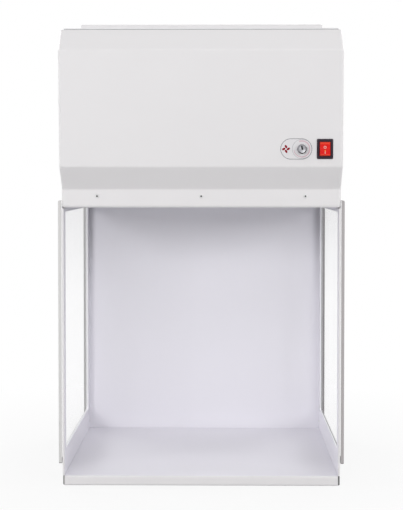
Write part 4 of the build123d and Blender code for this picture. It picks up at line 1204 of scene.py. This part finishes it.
class FLOWHOOD_OT_rocker(bpy.types.Operator):
    """Mould the rocker with its marks, and finish its housing"""

    bl_idname = "flowhood.rocker"
    bl_label = "Make the rocker"

    def execute(self, context):
        controls = context.scene.flow_hood.controls
        joint = next(item for item in frame["joints"] if item["name"] == "rocker_tilt")
        pivot = Vector(joint["pos_m"])
        low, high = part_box("rocker")
        pin = 1.0
        half = (high.x - low.x) / 2 / MM - pin
        red = self.red_lens(pivot, half, tuple(controls.red))
        piece("rocker_lens", self.lens(pivot, half), [red], "rocker", ["rocker"])
        assign(moulded_plastic("switch_black", (0.020, 0.010, 0.018), 0.4, shine=0.18), "rocker_switch_body")
        return {"FINISHED"}

    def lens(self, pivot, half):
        """Rocker with two dished faces, rounded ends and softened sides, on a pin."""
        # Outline in millimetres about the pin: along the face, and out of it.
        rise = [(0.0, 2.75), (1.0, 2.85), (5.0, 3.55), (8.9, 4.5), (9.9, 4.75)]
        crown = [(-y, z) for y, z in reversed(rise[1:])] + rise
        reach, start, end, steps = 11.0, math.atan2(4.0, 10.25), math.radians(-27.0), 5
        turns = [start + (end - start) * step / steps for step in range(steps + 1)]
        right = [(reach * math.cos(turn), reach * math.sin(turn)) for turn in turns]
        outline = crown + right + [(-y, z) for y, z in reversed(right)]

        # Sections across the rocker, drawn in where its sides are softened.
        soft = 0.6
        left = [(-half, soft), (soft * 0.35 - half, soft * 0.3), (soft - half, 0.0)]
        sections = left + [(-across, inset) for across, inset in reversed(left)]
        end_zone, face_zone = 9.0, 2.0
        matrix = on_face(pivot) @ Matrix.Rotation(math.radians(-10.0), 4, "X")
        rings = []
        for across, inset in sections:
            ring = []
            for y, z in outline:
                shorter = math.copysign(min(inset, abs(y)), y) if abs(y) > end_zone else 0.0
                lower = inset if z > face_zone else 0.0
                ring.append(matrix @ Vector((across, y - shorter, z - lower)))
            rings.append(ring)
        form, walls = wrap_rings(rings)

        pin = {"radius1": 1.2 * MM, "radius2": 1.2 * MM, "depth": 1.4 * MM}
        for way in (-1, 1):
            end = Matrix.Translation(pivot + Vector((way * (half + 0.3) * MM, 0, 0)))
            place = end @ Matrix.Rotation(math.pi / 2, 4, "Y")
            bmesh.ops.create_cone(form, cap_ends=True, segments=24, matrix=place, **pin)
        data = to_mesh(form)
        smooth(data, 32.0)
        return data

    def red_lens(self, pivot, half, red):
        """Translucent red with printed marks, a ring above a bar, painted highlights at its two ends and painted
        shade along its sides.
        """
        lens = Finish("red_lens", red, 0.4, Specular_IOR_Level=0.12)
        u, v, w = lens.on_face(pivot)
        cloud = lens.noise(lens.place(), 240.0, 2.0)
        ring = lens.length(u, v - 2.6).near(1.75, 0.55)
        bar = u.near(0.0, 0.65) * v.near(-4.4, 2.9)
        facing = w.above(1.0)
        deep = lens.tint(cloud, toned(red, 0.9), red)
        # Painted highlight: lighter bands at the rocker's two ends.
        ends = abs(v + 0.4).above(7.6)
        with_painted_highlights = lens.tint(ends * 0.45, deep, (0.86, 0.10, 0.05))
        # Painted shade: darker red along the sides, standing in for the shaded gap to the bezel.
        with_painted_rim_shade = lens.tint(abs(u).above(half - 0.7), with_painted_highlights, toned(red, 0.25))
        warm = v.above(-3.8)
        mark = lens.tint(warm * bar, (0.80, 0.40, 0.36), (0.78, 0.34, 0.08))
        return lens.worn(lens.tint(ring.most(bar) * facing * 0.85, with_painted_rim_shade, mark), cloud.level(0.3, 0.42))


class FLOWHOOD_OT_electrics(bpy.types.Operator):
    """Finish the speed controller, the switch's tabs and the mains inlet"""

    bl_idname = "flowhood.electrics"
    bl_label = "Finish the electrics"

    def execute(self, context):
        assign(circuit_board("solder_mask"), "controller_board")
        assign(tinned_brass("tinned_brass"), "switch_terminals", "board_standoffs", "mains_inlet_pins")
        assign(moulded_plastic("inlet_black", (0.014, 0.014, 0.016), 0.42), "mains_inlet")
        return {"FINISHED"}


class FLOWHOOD_OT_stage(bpy.types.Operator):
    """Lay the floor, hang the lamps and set up the camera"""

    bl_idname = "flowhood.stage"
    bl_label = "Set the stage"

    def execute(self, context):
        stage = context.scene.flow_hood.stage
        self.floor()
        self.world(context, stage.sky)
        lamps = (
            # name, bearing off the front, height angle, distance, width and height, power
            ("front_left", -20.0, 10.0, 3.5, (1.0, 0.6), stage.front),
            ("front_right", 20.0, 10.0, 3.5, (1.0, 0.6), stage.fill * 0.4),
            ("corner", 35.0, 12.0, 3.4, (1.0, 0.8), stage.fill * 0.6),
            ("brow", 0.0, 35.0, 3.0, (1.8, 1.0), stage.above),
            ("top", 0.0, 82.0, 2.4, (1.8, 1.8), stage.above),
            ("left", -85.0, 20.0, 2.6, (1.4, 1.2), stage.sides),
            ("right", 85.0, 20.0, 2.6, (1.4, 1.2), stage.sides),
            ("back_left", -140.0, 25.0, 2.6, (1.2, 1.2), stage.back),
            ("back_right", 140.0, 25.0, 2.6, (1.2, 1.2), stage.back),
        )
        for name, *values in lamps:
            self.lamp(f"{name}_lamp", *values)
        self.camera(context, stage)
        context.scene.view_settings.view_transform = "Standard"
        return {"FINISHED"}

    def floor(self):
        """Pale floor that is white from afar, with the hood's own shadow near it."""
        form = bmesh.new()
        bmesh.ops.create_grid(form, x_segments=4, y_segments=4, size=6.0)
        floor = put("floor", to_mesh(form, False))
        pale = Finish("pale_floor", grey(0.60), 0.7)
        spot = pale.place()
        pale.wear(Base_Color=pale.tint(pale.noise(spot, 3.0), grey(0.59), grey(0.61)))
        x, y, z = pale.split(spot)
        shadow_reach, shadow_share = 0.9, 0.18
        near = (1.0 - pale.length(x, y) / shadow_reach).most(0.0)
        share = pale.behind() * (1.0 - near * shadow_share)
        glow = pale.node("ShaderNodeEmission", None, {"Color": (1, 1, 1, 1), "Strength": 1.0})["Emission"]
        surface = Signal(pale, pale.shader.outputs[0])
        mixed = pale.node("ShaderNodeMixShader", None, {0: share, 1: surface, 2: glow})
        pale.feed(pale.tree.nodes["Material Output"], {"Surface": mixed[0]})
        floor.data.materials.append(pale.material)

    def world(self, context, strength):
        """White surround that lights the hood with its own weaker strength."""
        world = bpy.data.worlds.new("studio")
        world.use_nodes = True
        context.scene.world = world
        sky = Board(world.node_tree)
        power = sky.behind() * (1.0 - strength) + strength
        sky.feed(world.node_tree.nodes["Background"], {"Color": (1, 1, 1, 1), "Strength": power})

    def lamp(self, name, bearing, height, distance, size, power):
        """Soft rectangular lamp aimed at the hood, from a bearing off the front and a height angle."""
        light = bpy.data.lights.new(name, "AREA")
        light.shape = "RECTANGLE"
        light.size, light.size_y = size
        light.energy = power
        target = Vector((0.0, -0.1, 0.36))
        turn, rise = math.radians(bearing), math.radians(height)
        away = Vector((math.sin(turn) * math.cos(rise), -math.cos(turn) * math.cos(rise), math.sin(rise)))
        lamp = put(name, light)
        lamp.location = target + away * distance
        lamp.rotation_euler = (-away).to_track_quat("-Z", "Y").to_euler()

    def camera(self, context, stage):
        lens = bpy.data.cameras.new("camera")
        lens.lens = stage.lens
        lens.sensor_width = 36.0
        lens.shift_y = stage.rise
        camera = put("camera", lens)
        reach = math.cos(stage.pitch)
        ahead = Vector((math.sin(stage.yaw) * reach, math.cos(stage.yaw) * reach, -math.sin(stage.pitch)))
        camera.location = stage.eye
        camera.rotation_euler = ahead.to_track_quat("-Z", "Y").to_euler()
        context.scene.camera = camera


STEPS = (
    FLOWHOOD_OT_stage,
    FLOWHOOD_OT_cabinet,
    FLOWHOOD_OT_panes,
    FLOWHOOD_OT_fasteners,
    FLOWHOOD_OT_grilles,
    FLOWHOOD_OT_filter,
    FLOWHOOD_OT_fan,
    FLOWHOOD_OT_dial,
    FLOWHOOD_OT_knob,
    FLOWHOOD_OT_rocker,
    FLOWHOOD_OT_electrics,
)


class FLOWHOOD_PT_panel(bpy.types.Panel):
    """Steps and sizes of the flow hood"""

    bl_label = "Flow Hood"
    bl_idname = "FLOWHOOD_PT_panel"
    bl_space_type = "VIEW_3D"
    bl_region_type = "UI"
    bl_category = "Flow Hood"

    def draw(self, context):
        settings = context.scene.flow_hood
        for part in ("coat", "glazing", "fasteners", "grilles", "controls", "stage"):
            box = self.layout.box()
            sizes = getattr(settings, part)
            for key in sizes.bl_rna.properties.keys():
                if key not in ("rna_type", "name"):
                    box.prop(sizes, key)
        for step in STEPS:
            self.layout.operator(step.bl_idname)


CLASSES = (
    FlowHoodCoat,
    FlowHoodGlazing,
    FlowHoodFasteners,
    FlowHoodGrilles,
    FlowHoodControls,
    FlowHoodStage,
    FlowHoodSettings,
    *STEPS,
    FLOWHOOD_PT_panel,
)


def register():
    for item in CLASSES:
        bpy.utils.register_class(item)
    bpy.types.Scene.flow_hood = bpy.props.PointerProperty(type=FlowHoodSettings)


def unregister():
    del bpy.types.Scene.flow_hood
    for item in reversed(CLASSES):
        bpy.utils.unregister_class(item)


def main():
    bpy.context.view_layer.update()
    register()
    for step in STEPS:
        area, action = step.bl_idname.split(".")
        getattr(getattr(bpy.ops, area), action)()


if __name__ == "__main__":
    main()
